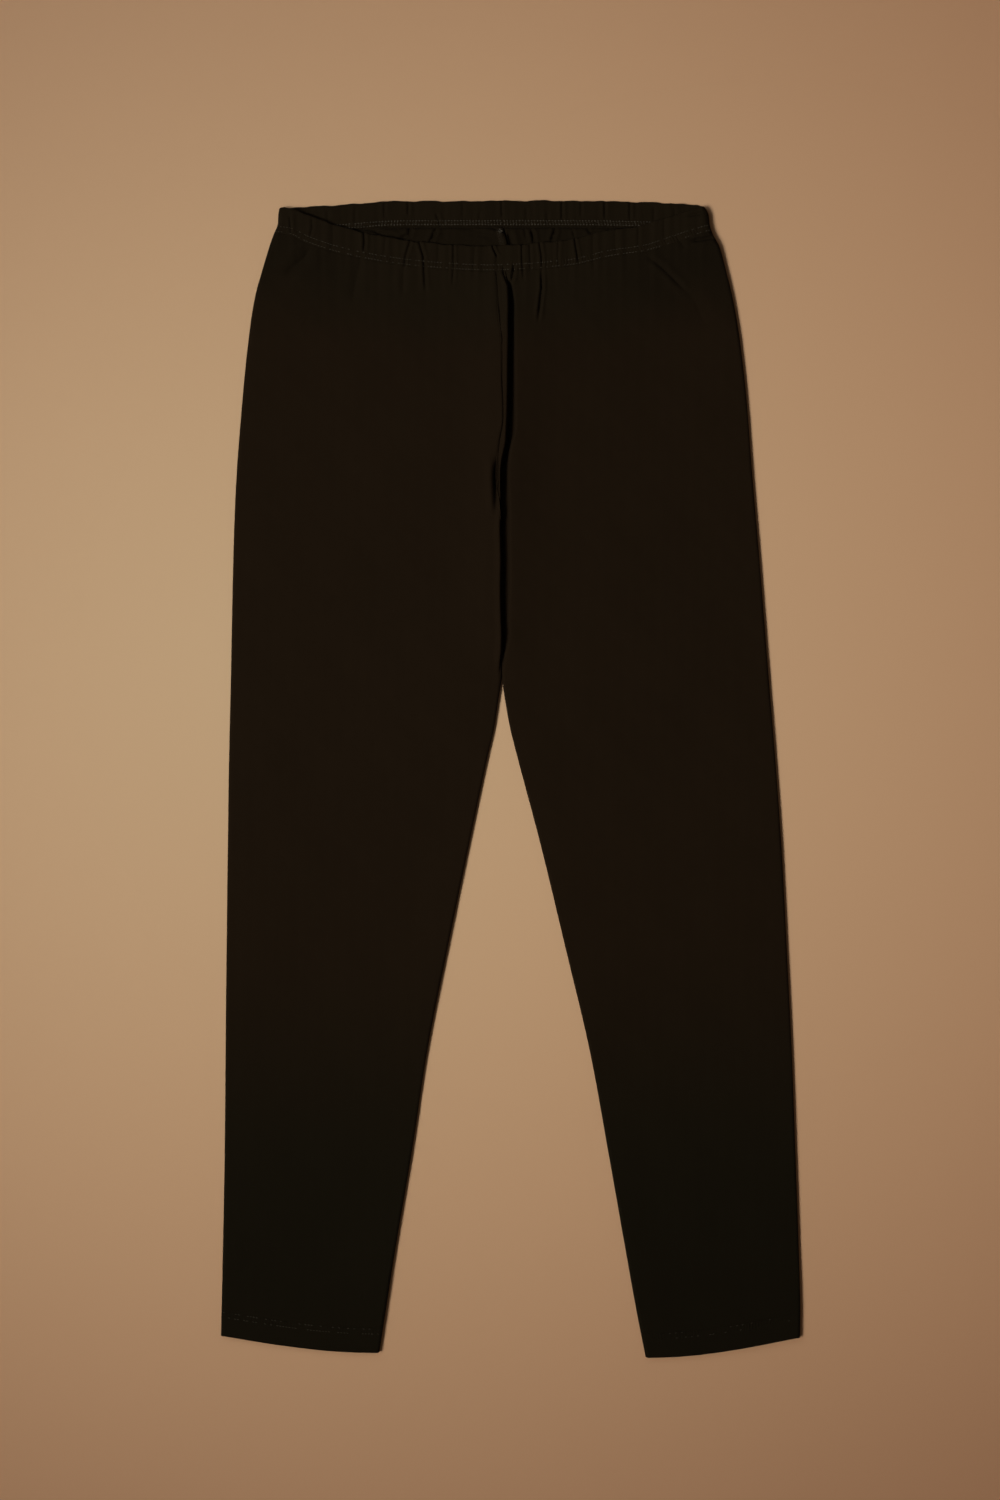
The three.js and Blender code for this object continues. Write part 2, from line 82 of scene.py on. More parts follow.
WAIST_EDGE = table(
    "across front back",
    (0, 6.3, 6.3),
    (0.03, 8, 5),
    (0.075, 14.5, 4.5),
    (0.155, 23, 2.6),
    (0.25, 30, 0.3),
    (0.36, 34.8, 0),
    (0.5, 37.2, 0),
    (0.67, 32.6, 0),
    (0.75, 26, 0.2),
    (0.845, 21, 0.9),
    (0.91, 14.5, 1.7),
    (0.96, 9.5, 2.2),
    (1, 5.8, 3.2),
)
SIDES = table(
    "drop right left",
    (0, -189, 154.5),
    (5, -189.4, 156.5),
    (8, -190, 158.6),
    (12, -190.6, 160.4),
    (20, -191.2, 161.3),
    (28, -194.5, 163.9),
    (38, -198, 169.3),
    (56, -203.5, 174.3),
    (80, -210, 180.2),
    (113, -215, 185.9),
    (162, -220, 191.4),
    (227, -225, 196.4),
    (292, -227.5, 201.9),
    (391, -229.5, 209.7),
    (456, -231, 214.9),
    (529, -232, 220.1),
    (611, -233, 224.3),
    (693, -233.8, 228.3),
    (775, -234.5, 231.3),
    (856, -236, 234.1),
    (905, -237, 235.4),
    (944, -238, 234.6),
)
INSEAMS = table(
    "drop right left",
    (391, -8.5, -8),
    (407, -11, -5.8),
    (432, -14.9, -1.2),
    (456, -20.4, 4.9),
    (529, -35.8, 24.2),
    (611, -52.7, 43.9),
    (693, -69, 63.3),
    (775, -81.5, 78.3),
    (856, -95.2, 92.6),
    (905, -102.8, 101.4),
    (944, -108.8, 109),
)
# The centre seams, and the deep fold beside the front one: its place, the height of its floor, half its
# width at the floor, how far the cloth around it is lifted, and how deep the seam itself is sunk.
CENTRE = table(
    "drop front back fold floor half lift sunk",
    (0, -15, -8, -6, 9, 0.6, 0, 0.1),
    (20, -15, -7.5, -6, 9, 0.6, 0, 0.2),
    (38, -15.7, -3.5, -6, 8, 0.6, 0, 0.6),
    (46, -12.5, -4.5, -6, 7, 0.6, 0.1, 0.5),
    (56, -13.2, -5.5, -5, 6.2, 0.6, 0.3, 0.1),
    (64, -12.6, -8, -3.4, 5, 0.8, 1.4, 0.2),
    (71, -12, -9, -1.7, 2.4, 1.3, 2.1, 0.5),
    (84, -11.4, -9.2, -0.4, 1.7, 2, 3, 0.7),
    (97, -10.4, -9.5, -0.5, 1.5, 2.1, 3.9, 0.7),
    (110, -8.9, -9.5, -0.5, 1.5, 2.1, 4.3, 0.7),
    (123, -8.2, -9.5, -0.55, 1.5, 2.2, 4.5, 0.7),
    (149, -8, -9.5, -0.6, 1.5, 2.3, 4.5, 0.7),
    (162, -7.4, -9.5, -0.7, 1.5, 2.4, 4.5, 0.9),
    (175, -7.2, -9.5, -0.8, 1.5, 2.5, 4.5, 0.9),
    (183, -7.5, -9.5, -1, 1.5, 2.7, 4.5, 1),
    (190, -8.8, -9.5, -1.4, 1.5, 2.6, 4.5, 1),
    (197, -10.1, -9.5, -2.6, 1.5, 1.8, 4.4, 1),
    (209, -11.5, -9.5, -5, 1.5, 1.9, 4.4, 1.2),
    (219, -12.4, -9.5, -6.1, 1.5, 2.5, 4.8, 1.6),
    (230, -12.3, -9.5, -6.4, 1.5, 2.6, 5, 1.6),
    (240, -11, -9.5, -6.2, 1.5, 2.8, 5.1, 1.2),
    (247, -10, -9.4, -6, 1.5, 2.9, 5.2, 0.5),
    (254, -9.3, -9.3, -6, 1.5, 2.9, 5.2, 0.2),
    (267, -8.3, -9, -6.2, 1.5, 3, 5.1, 0),
    (293, -7, -8.6, -5.7, 1.5, 2.8, 4.9, 0),
    (319, -6.5, -8.3, -5.9, 1.5, 2.9, 4.6, 0),
    (342, -6.2, -8, -6, 1.5, 2.2, 3.8, 0),
    (355, -6.8, -8, -5.5, 1.5, 2.3, 3.4, 0),
    (366, -7.6, -8, -6.8, 1.5, 1.3, 2.2, 0),
    (374, -8.1, -8, -8, 1.5, 0.9, 1.7, 0),
    (382, -8.2, -8.1, -8.6, 1.5, 1.1, 1.4, 0),
    (391, -8.2, -8.2, -8.8, 1.5, 1, 1.1, 0),
)
HEIGHTS = table(
    "depth middle right left inseam",
    (0, 6.3, 7.8, 8.8, 4.6),
    (21, 6.4, 7.6, 8.6, 4.6),
    (48, 5.6, 6.2, 6.8, 4.6),
    (90, 4.6, 5.4, 5.6, 4.6),
    (160, 4.1, 5, 5, 4.6),
    (300, 3.9, 4.8, 4.8, 4.6),
    (850, 4, 4.8, 4.8, 4.8),
    (906, 5.3, 5.8, 5.8, 5.8),
    (944, 5.3, 5.8, 5.8, 5.8),
)
# Creases, each from one place by way of another to a third, as X and drop, with its depth and half width.
# Where start is 0 a crease fades in, and where it is 1 it begins sharp, as at an edge.
FRONT_CREASES = table(
    "x0 drop0 x1 drop1 x2 drop2 depth width start",
    (-181, 12, -180.5, 20, -179.5, 30, 1.2, 0.8, 0),
    (-163, 14, -162.5, 23, -165, 33, 0.7, 0.9, 0),
    (-162, 36, -170, 48, -187, 62, 2.3, 3.2, 0),
    (-146, 20, -146, 34, -148, 46, 0.5, 1.4, 1),
    (-120.5, 25, -120, 34, -121, 44, 1.9, 1, 1),
    (-121, 40, -126, 60, -131, 86, 1, 3, 0),
    (-103, 31, -104, 42, -106, 54, 0.5, 1.3, 1),
    (-83, 34.5, -86.5, 46, -88, 58, 1.5, 0.9, 1),
    (-88, 52, -88.5, 64, -89, 80, 0.8, 2, 0),
    (-75.5, 34, -72, 46, -70, 78, 1.7, 0.9, 1),
    (-60, 36, -60, 46, -61, 58, 0.5, 1.4, 1),
    (-47.5, 36.5, -47.5, 54, -48.5, 72, 1.4, 0.8, 1),
    (-30, 37, -31, 50, -31, 64, 0.5, 1.3, 1),
    (-15.7, 38, -13.5, 43, -11.5, 47, 1.3, 0.7, 1),
    (-7.5, 52, -6.5, 60, -3, 71, 1.8, 0.9, 0),
    (2.2, 51, 1, 61, -1.6, 70, 2.2, 0.9, 0),
    (8.3, 36.5, 8.5, 50, 9.8, 68, 1.5, 0.7, 1),
    (14.5, 37, 15, 48, 15, 60, 0.7, 0.8, 1),
    (22.8, 36, 24.4, 46, 24.4, 58, 1.6, 0.8, 1),
    (24.2, 52, 24.4, 72, 21, 102, 2.6, 0.9, 0),
    (38, 35, 37.5, 46, 38, 58, 0.8, 0.9, 1),
    (51, 31, 53, 42, 55, 54, 1.5, 0.8, 1),
    (66, 28, 66, 40, 67, 62, 0.5, 1.6, 1),
    (84, 24, 84, 36, 85, 48, 0.5, 1.4, 1),
    (107, 43.5, 122, 54.5, 145, 77, 1.5, 1.5, 0),
    (140, 70, 150, 84, 158, 104, 0.6, 4, 0),
    (103, 20, 103, 32, 103, 44, 0.7, 1.1, 1),
    (124, 15, 124, 26, 125, 38, 0.5, 1.3, 1),
    (161.5, 9.3, 151, 12, 140, 13.7, 1.3, 1, 1),
    (168, 30, 156, 32.3, 144, 34, 3, 1.2, 1),
    (134, 27, 136, 33, 142, 41, 0.6, 1.6, 0),
    (-12.8, 206, -13.2, 228, -11.8, 260, 5.5, 1.8, 0),
)
BACK_CREASES = table(
    "x0 drop0 x1 drop1 x2 drop2 depth width start",
    (-150, 6, -150, 14, -150, 24, 0.5, 1.1, 0),
    (-128, 4, -128, 12, -128, 21, 0.6, 1, 0),
    (-104, 1, -104, 6, -104, 15, 0.8, 0.8, 1),
    (-84.5, 0, -84.5, 6, -84.5, 13, 1.2, 0.8, 1),
    (-62, 9, -59.5, 17, -57, 22, 1.2, 0.9, 0),
    (-40, 2, -40, 8, -40, 16, 0.5, 1, 1),
    (-26, 8, -26.5, 15, -27, 20, 0.5, 1, 0),
    (-8.2, 0, -8.2, 6, -8, 15, 1.1, 0.7, 1),
    (12, 4, 12, 12, 12, 20, 0.6, 1, 0),
    (29, 8, 29, 15, 29, 21, 0.6, 1, 0),
    (41, 0, 41, 9, 41, 18, 1.5, 0.8, 1),
    (56.5, 0, 56.5, 8, 56.5, 15, 0.8, 0.9, 1),
    (76, 0, 76, 8, 76, 16, 1.4, 0.8, 1),
    (96.5, 0, 96.5, 9, 96.5, 18, 1.4, 0.8, 1),
    (116, 3, 116, 10, 116, 20, 0.7, 1, 0),
    (133, 4, 133, 10, 133, 18, 0.6, 1.1, 0),
    (-124, 21, -113, 24, -101, 29.5, 3.4, 1.4, 0),
    (-104, 28, -92, 32, -83, 27.5, 3.6, 1.4, 0),
    (-85, 30, -82.5, 25, -84, 20, 2.8, 1.2, 0),
    (-68.5, 40, -65, 31, -60.5, 21, 3, 1.1, 0),
    (-45, 22, -32, 24, -17, 27, 0.8, 1.2, 0),
    (-40, 27, -28, 28, -14, 31, 0.6, 1.2, 0),
    (-19, 21.5, -10, 23.2, -3.5, 27, 3.2, 1.1, 0),
    (-4, 24, -1.5, 31, 0.5, 42, 3.4, 1.8, 0),
    (10, 21, 11, 26, 12, 32, 0.8, 0.9, 0),
    (15.5, 22, 17.5, 29, 18.5, 37, 2.5, 1.1, 0),
    (36.5, 21, 34, 28, 31.5, 35, 2.6, 1.1, 0),
    (48, 22, 50, 25, 51, 31, 0.9, 0.9, 0),
    (60, 21.5, 64, 25.5, 71, 22.5, 2, 1.3, 0),
    (78, 22, 80, 24, 82, 27, 0.8, 1, 0),
)


class Leg(NamedTuple):
    """One leg: its name, its side, and its hem's depth, sag and share of hidden stitches.

    The side is -1 for the wearer's right and 1 for their left.
    """

    name: str
    side: int
    hem_depth: float
    hem_sag: float
    hem_hidden: float


RIGHT = Leg("right", -1, 926.5, 13.5, 0.5)
LEFT = Leg("left", 1, 928, 16, 0.85)


class Ring(NamedTuple):
    """A ring of doubled cloth: its depth and thickness, and its needle rows' places from its folded edge."""

    depth: float
    thickness: float
    needles: tuple


BAND = Ring(21, 2.4, (15.8, 19.8))
HEM = Ring(20, 2, (15.7, 19.6))

# The lie of the cloth. A fade is the two depths or drops between which something comes or goes.
CLOTH_THICKNESS = 0.75
CROTCH = 391
SEAM_GAP = 0.3
SCOOP_FADE = (21, 170)
SAG_FADE = (690, 900)
SIDE_FALL = 70
INSEAM_FALL = 34
CROTCH_BLEND = (372, CROTCH)
SEAM_TURN = 0.8
FOLD_WALLS = (0.7, 2.2)
LIFT_CREST = -2
LIFT_WIDTH = 26
RIDGE_HEIGHT = 2.5
RIDGE_WIDTH = 2
RIDGE_PLACE = 1.3
FOLD_CROSSED = (66, 74)
RUFFLE_REACH = 24
FRONT_RUFFLE = 0.24
BACK_RUFFLE = 0.17
EDGE_RUFFLE = 0.4
UNEVENNESS = 0.3
FINE_UNEVENNESS = 0.1
INSIDE_PUFF = 2.3
INSIDE_PUFF_FADE = (45, 95)
INSIDE_PUFF_SIDES = (-176, 150)
INSIDE_PUFF_EDGE = 26
PUCKER_HEIGHT = 0.3
PUCKER_REACH = 3.2
NEEDLE_GROOVE = 0.2
GROOVE_WIDTH = 0.7
SEAM_LAP = 0.5
LAP_DIP = 0.55
LAP_FADE = 0.8
INSIDE_SEEN = 62
BAND_DENT = 1.6
LOOPER_ROWS = (16.4, 19.5)
ALLOWANCE_WIDTH = 6
ALLOWANCE_THICKNESS = 0.7
ALLOWANCE_LIFT = 0.75
TUFT_PLACE = (-9.2, 25.4)
UP = np.array([0, 0, 1.0])

# A crease fades over a share of its run at an end. Beside it the cloth puffs up by a share of its depth, at
# a place and over a width that are counted in its half widths.
CREASE_FADE = 0.3
CREASE_PUFF = 0.35
PUFF_PLACE = 2.6
PUFF_WIDTH = 1.7

# The turn at the middle of the side fold, between the front and the back
SIDE_MIDDLE = 1.5

# Depths at which a leg's rows become coarser: past the gathers, the soft folds, and the thigh
GATHERS_END = 40
SOFT_FOLDS_END = 108
THIGH_END = 470

# About half the laid width of each piece, by which the columns of its mesh are spaced
LEG_SPAN = 178
BAND_SPAN = 177
HEM_SPAN = 130

# The middle of the floor's greyer colour, a painted reflection of the key light, and how far it fades, in
# metres
FLOOR_REFLECTION_MIDDLE = (-0.19, 0.105, 0)
FLOOR_REFLECTION_REACH = 0.9


# Numbers and curves


def ramp(low, high, x):
    """0 below low and 1 above high, smooth between them."""
    t = np.clip((x - low) / (high - low), 0, 1)
    return t * t * (3 - 2 * t)


def bell(x, width):
    return np.exp(-((x / width) ** 2))


def lerp(a, b, share):
    return a + (b - a) * share


def read(rows, column, place):
    """A column of a table at any place along its first one, on one smooth curve through the rows."""
    keys, values = next(iter(rows.values())), rows[column]
    last = len(keys) - 1
    order = np.arange(last + 1)
    before, after = np.maximum(order - 1, 0), np.minimum(order + 1, last)
    slopes = (values[after] - values[before]) / (keys[after] - keys[before])
    i = np.clip(np.searchsorted(keys, place, side="right") - 1, 0, last - 1)
    span = keys[i + 1] - keys[i]
    t = np.clip((place - keys[i]) / span, 0, 1)
    straight = lerp(values[i], values[i + 1], t * t * (3 - 2 * t))
    return straight + t * (1 - t) * span * ((1 - t) * slopes[i] - t * slopes[i + 1])


def waves(x, y, seed, longest, shortest, count):
    """Gentle unevenness between about -1 and 1, from a few waves in chance directions."""
    chance = np.random.default_rng(seed)
    total = 0
    for length in np.geomspace(longest, shortest, count):
        angle, phase = chance.uniform(0, 2 * math.pi, 2)
        along = x * math.cos(angle) + y * math.sin(angle)
        total = total + np.sin(2 * math.pi * along / length + phase) / count**0.5
    return total


# The surface of the laid cloth


def drop_of(leg, layer, share, depth):
    """The drop of a point at a depth, at a share of the way from the centre seam to the side fold."""
    edge = read(WAIST_EDGE, layer, (1 + leg.side * share) / 2)
    sag = leg.hem_sag * np.sin(math.pi / 2 * (1 - share))
    return depth + edge * (1 - ramp(*SCOOP_FADE, depth)) + sag * ramp(*SAG_FADE, depth)


def creased(creases, x, drop):
    """How far a set of creases sinks the cloth, with a soft puff on both sides of each."""
    relief = np.zeros(np.shape(x))
    for x0, drop0, x1, drop1, x2, drop2, depth, width, start in zip(*creases.values()):
        lengths = [math.hypot(x1 - x0, drop1 - drop0), math.hypot(x2 - x1, drop2 - drop1)]
        away, run = np.full(relief.shape, 1e9), np.zeros(relief.shape)
        for number, (ax, ay, bx, by) in enumerate([(x0, drop0, x1, drop1), (x1, drop1, x2, drop2)]):
            t = ((x - ax) * (bx - ax) + (drop - ay) * (by - ay)) / lengths[number] ** 2
            t = np.clip(t, 0, 1)
            distance = np.hypot(x - lerp(ax, bx, t), drop - lerp(ay, by, t))
            nearer = distance < away
            away = np.where(nearer, distance, away)
            run = np.where(nearer, number * lengths[0] + t * lengths[number], run)
        run = run / sum(lengths)
        strength = ramp(0, CREASE_FADE, 1 - run) * (1 if start else ramp(0, CREASE_FADE, run))
        trough = np.exp(-((away / width) ** 1.3))
        puff = CREASE_PUFF * bell(away - PUFF_PLACE * width, PUFF_WIDTH * width)
        relief = relief + depth * strength * (puff - trough)
    return relief


def ruffled(x, depth, seed):
    """Small upright ruffles where the elastic draws the cloth in, dying away below the band."""
    fade = np.exp(-np.maximum(depth - BAND.depth, 0) / RUFFLE_REACH)
    return fade * waves(x, 0 * x, seed, 21, 6, 7)


def front_height(leg, x, depth, drop, centre, inner, folded):
    """The height of the front's outer face before its creases, with or without the deep fold."""
    side_height = read(HEIGHTS, leg.name, depth)
    middle = read(HEIGHTS, "middle", depth)
    level = lerp(side_height, middle, ramp(0, SIDE_FALL, np.abs(centre - x)))
    inseam = read(HEIGHTS, "inseam", depth)
    closed = lerp(inseam, level, ramp(0, INSEAM_FALL, np.abs(x - inner)))
    fold = read(CENTRE, "fold", drop)
    half = read(CENTRE, "half", drop)
    lift = read(CENTRE, "lift", drop)
    crest = fold - half - FOLD_WALLS[0] - RIDGE_PLACE
    ridge = RIDGE_HEIGHT * ramp(0.6, 2.4, lift) * bell(x - crest, RIDGE_WIDTH)
    height = level + lift * bell(x - fold - LIFT_CREST, LIFT_WIDTH) + ridge
    if folded:
        left = np.clip((fold - half - x) / FOLD_WALLS[0], 0, 1)
        right = np.clip((x - fold - half) / FOLD_WALLS[1], 0, 1)
        wall = np.where(x < fold, 1 - (1 - left) ** 2, 1 - (1 - right) ** 3)
        floor = np.minimum(read(CENTRE, "floor", drop), height)
        height = lerp(floor, height, wall)
    return lerp(height, closed, ramp(*CROTCH_BLEND, depth))


def lay(leg, turn, depth, seamed=True, folded=True):
    """Points of the cloth's outer face, before its creases.

    The turn is 0 at the front's seam or inseam, 1 where the side fold starts, 2 where it ends and 3 at the
    back's seam or inseam. From 0 to -1 and from 3 to 4 the cloth turns in, to the seam or round the inseam.
    Without seams, 0 and 3 lie on the centre lines themselves, as on the waistband.
    """
    turn, depth = np.broadcast_arrays(np.asarray(turn, float), np.asarray(depth, float))
    side = leg.side
    on_front = turn < SIDE_MIDDLE
    share = np.where(on_front, np.clip(turn, 0, 1), np.clip(3 - turn, 0, 1))
    round_side = np.clip(turn - 1, 0, 1)
    drops = [drop_of(leg, layer, share, depth) for layer in ("front", "back")]
    drop = lerp(drops[0], drops[1], round_side)
    radius = read(HEIGHTS, leg.name, depth) / 2
    centre = read(SIDES, leg.name, drop) - side * radius

    closed = depth >= CROTCH
    seams = [read(CENTRE, layer, drop) for layer in ("front", "back")]
    layer_seam = np.where(on_front, *seams)
    edge = np.where(closed, read(INSEAMS, leg.name, drop), layer_seam + side * SEAM_GAP / 2)
    inseam_radius = read(HEIGHTS, "inseam", depth) / 2
    turned = lerp(SEAM_TURN, inseam_radius, ramp(*CROTCH_BLEND, depth))
    if not seamed:
        edge, turned = layer_seam, 0 * turned
    guess = edge + side * turned
    turned = np.minimum(turned, front_height(leg, guess, depth, drop, centre, guess, folded) / 2)
    inner = edge + side * turned
    x = lerp(inner, centre, share)
    height = front_height(leg, x, depth, drop, centre, inner, folded)

    angle = math.pi * (0.5 - round_side)
    on_side = (turn > 1) & (turn < 2)
    x = np.where(on_side, centre + side * radius * np.cos(angle), x)
    z = np.where(turn <= 1, height, np.where(on_side, radius + radius * np.sin(angle), 0))
    tuck = np.where(turn < 0, -turn, np.where(turn > 3, turn - 3, 0)) * math.pi / 2
    x = x - side * turned * np.sin(tuck)
    z = np.where(turn < 0, height - turned * (1 - np.cos(tuck)), z)
    z = np.where(turn > 3, turned * (1 - np.cos(tuck)), z)
    return np.stack([x, WAIST_TOP - drop, z], axis=-1)


def wall_way(leg, turn, depth, seamed=True):
    """The unit vector from the outer face into the wall, found from the laid surface around each point."""
    turn, depth = np.broadcast_arrays(np.asarray(turn, float), np.asarray(depth, float))
    turn_step, depth_step = 0.004, 0.5
    before, after = np.clip(turn - turn_step, -1, 4), np.clip(turn + turn_step, -1, 4)
    along = lay(leg, after, depth, seamed, False) - lay(leg, before, depth, seamed, False)
    above, below = depth - depth_step, depth + depth_step
    down = lay(leg, turn, below, seamed, False) - lay(leg, turn, above, seamed, False)
    way = np.cross(along, down) * leg.side
    return way / np.maximum(np.linalg.norm(way, axis=-1, keepdims=True), 1e-9)


def front_relief(leg, turn, points, depth):
    """Creases, ruffles and unevenness of the front, in millimetres above the laid surface."""
    x, drop = points[..., 0], WAIST_TOP - points[..., 1]
    in_fold = np.abs(x - read(CENTRE, "fold", drop)) - read(CENTRE, "half", drop)
    clear = np.maximum(ramp(0, 1.5, in_fold), 1 - ramp(*FOLD_CROSSED, drop))
    ruffle = FRONT_RUFFLE * ruffled(x, depth, 5)
    soft = UNEVENNESS * waves(x, drop, 11, 150, 40, 6) + FINE_UNEVENNESS * waves(x, drop, 12, 34, 12, 6)
    seam = x - read(CENTRE, "front", drop)
    sunk = -read(CENTRE, "sunk", drop) * bell(seam, 1) * (depth < CROTCH)
    relief = creased(FRONT_CREASES, x, drop) + ruffle + soft * ramp(0, 60, depth) + sunk
    onto_front = ramp(0, 0.25, 1.3 - turn) * ramp(0, 1, 1 + turn)
    return relief * onto_front * clear


def back_relief(leg, turn, points, depth):
    """Creases and ruffles of the inside of the back, which shows above the front's waist edge."""
    x, drop = points[..., 0], WAIST_TOP - points[..., 1]
    puffed = INSIDE_PUFF * ramp(0.7, 2.5, depth - BAND.depth) * (1 - ramp(*INSIDE_PUFF_FADE, depth))
    low, high = INSIDE_PUFF_SIDES
    puffed = puffed * ramp(0, INSIDE_PUFF_EDGE, x - low) * ramp(0, INSIDE_PUFF_EDGE, high - x)
    relief = creased(BACK_CREASES, x, drop) + BACK_RUFFLE * ruffled(x, depth, 6)
    relief = puffed + relief * np.where(depth > BAND.depth, np.clip(puffed, 0, 1), 1)
    return relief * ramp(0, 0.06, turn - 2) * ramp(0, 0.01, 3.01 - turn)


def seam_puckers(run, depth, ring, pitch):
    """The needle rows' grooves and the small puckers across them, at a run along the row."""
    middle = sum(ring.needles) / 2
    wobble = waves(run, 0 * run, 31, 60, 9, 5)
    ripple = 0.5 + 0.5 * np.cos(2 * math.pi * run / pitch)
    reach = bell(depth - middle, PUCKER_REACH)
    grooves = sum(bell(depth - needle, GROOVE_WIDTH) for needle in ring.needles)
    return PUCKER_HEIGHT * (ripple - 0.5) * reach * (0.75 + 0.45 * wobble) - NEEDLE_GROOVE * grooves


# Meshes


def run_along(line):
    """How far along a line of points each one lies."""
    return np.concatenate([[0], np.cumsum(np.linalg.norm(np.diff(line, axis=0), axis=-1))])


def strip_quads(rows):
    """Quads between neighbouring rows of point numbers."""
    rows = np.asarray(rows)
    corners = [rows[:-1, :-1], rows[:-1, 1:], rows[1:, 1:], rows[1:, :-1]]
    return np.stack(corners, axis=-1).reshape(-1, 4).tolist()


def zipped(a, b, places_a, places_b):
    """Triangles between two rows of point numbers that run side by side, matched by their places."""
    faces, i, j = [], 0, 0
    last_a, last_b = len(a) - 1, len(b) - 1
    while i < last_a or j < last_b:
        if j == last_b or (i < last_a and places_a[i + 1] <= places_b[j + 1]):
            faces.append((a[i], a[i + 1], b[j]))
            i += 1
        else:
            faces.append((a[i], b[j + 1], b[j]))
            j += 1
    return faces


class Patchwork:
    """Gathers points with their places on the flat cloth, and the faces between them, into one mesh."""

    def __init__(self):
        self.points, self.flat, self.faces, self.twins = [], [], [], {}
        self.count = 0

    def add(self, points, flat):
        """Adds a grid or row of points in millimetres, and returns their numbers in the same layout."""
        numbers = np.arange(self.count, self.count + points[..., 0].size).reshape(points.shape[:-1])
        self.points.append(points.reshape(-1, 3))
        self.flat.append(np.broadcast_to(flat, (*points.shape[:-1], 2)).reshape(-1, 2))
        self.count += numbers.size
        return numbers

    def weld(self, numbers, onto):
        """Makes some points one with others, though each keeps its own place on the flat cloth."""
        self.twins.update(zip(np.ravel(numbers).tolist(), np.ravel(onto).tolist()))

    def build(self, name, material, slot):
        """Makes the mesh object, turned to face out, smooth, riding on the frame's only body."""
        corners = [k for face in self.faces for k in face]
        home = np.arange(self.count)
        for twin, original in self.twins.items():
            home[twin] = original
        used, vertex = np.unique(home[corners], return_inverse=True)
        points = np.concatenate(self.points)[used] * MM
        faces, start = [], 0
        for face in self.faces:
            faces.append(vertex[start : start + len(face)].tolist())
            start += len(face)
        mesh = bpy.data.meshes.new(name)
        mesh.from_pydata(points.tolist(), [], faces)
        layer = mesh.uv_layers.new(name="cloth")
        layer.data.foreach_set("uv", (np.concatenate(self.flat)[corners] * MM).ravel())
        shape = bmesh.new()
        shape.from_mesh(mesh)
        bmesh.ops.recalc_face_normals(shape, faces=shape.faces)
        shape.to_mesh(mesh)
        shape.free()
        mesh.shade_smooth()
        mesh.materials.append(material)
        piece = placed(name, mesh)
        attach(piece, "root")
        return piece


def placed(name, data):
    """A new object, in the scene."""
    made = bpy.data.objects.new(name, data)
    bpy.context.scene.collection.objects.link(made)
    return made


def spread(low, high, spacing):
    """Evenly spaced values from low to high, at about a spacing."""
    return np.linspace(low, high, max(2, int(round((high - low) / spacing)) + 1))


# Leg panels


def fold_stops(leg, depth):
    """How far the deep fold's walls and surroundings lie from the front's edge, at each depth, in order."""
    drop = drop_of(leg, "front", 0.05, np.minimum(depth, CROTCH))
    fold, half = read(CENTRE, "fold", drop), read(CENTRE, "half", drop)
    inner = read(CENTRE, "front", drop) + leg.side * (SEAM_GAP / 2 + SEAM_TURN)
    left_wall = [fold - half - FOLD_WALLS[0], fold - half]
    right_wall = [fold + half, fold + half + FOLD_WALLS[1]]
    places = [*left_wall, *right_wall] if leg.side > 0 else left_wall[::-1]
    closest, surroundings, side_radius = 0.12, 24, 2.5
    stops = [0 * depth]
    for place in places:
        stops.append(np.maximum(leg.side * (place - inner), stops[-1] + closest))
    stops.append(np.maximum(stops[-1] + 2, surroundings))
    width = leg.side * (read(SIDES, leg.name, drop) - inner) - side_radius
    return [stop / width for stop in stops] + [1 + 0 * depth]


def leg_columns(leg, depth):
    """The turns of a leg's columns in each row, which follow the fold's walls, and four choices among them.

    The choices are the outer face's columns at the gathers and below them, and the inner face's likewise.
    """
    stops = fold_stops(leg, depth)
    counts = [14, 5, 8, 8, 16, 238] if leg.side > 0 else [8, 5, 34, 236]
    front = [np.zeros((len(depth), 1))]
    for count, low, high in zip(counts, stops, stops[1:]):
        shares = np.linspace(0, 1, count + 1)[1:]
        front.append(lerp(low[:, None], high[:, None], shares[None, :]))
    front = np.concatenate(front, axis=1)
    tuck = np.linspace(0, 1, 9)[1:]
    side = np.linspace(1, 2, 22)[1:-1]
    back = 3 - np.array([*np.arange(0, 150, 0.8), *np.arange(150, LEG_SPAN, 3), LEG_SPAN]) / LEG_SPAN
    rest = np.concatenate([side, back[::-1], 3 + tuck])
    ones = np.ones((len(depth), 1))
    turns = np.concatenate([-tuck[::-1] * ones, front, rest * ones], axis=1)

    near = len(tuck) + sum(counts[:-1])
    side_from = len(tuck) + front.shape[1]
    back_from, last = side_from + len(side), turns.shape[1] - 1
    tuck_from = last - len(tuck)
    ends = range(tuck_from, last + 1)
    outer = sorted({*range(back_from), *range(back_from, tuck_from, 4), *ends})
    around_side = range(side_from, back_from, 2)
    inner = sorted({*range(near), *range(near, side_from, 4), *around_side, *range(back_from, last + 1)})
    back_below = range(back_from, tuck_from, 4)
    inner_below = sorted({*range(near), *range(near, side_from, 8), *around_side, *back_below, *ends})
    return turns, (outer, sorted({*outer[::2], last}), inner, inner_below)


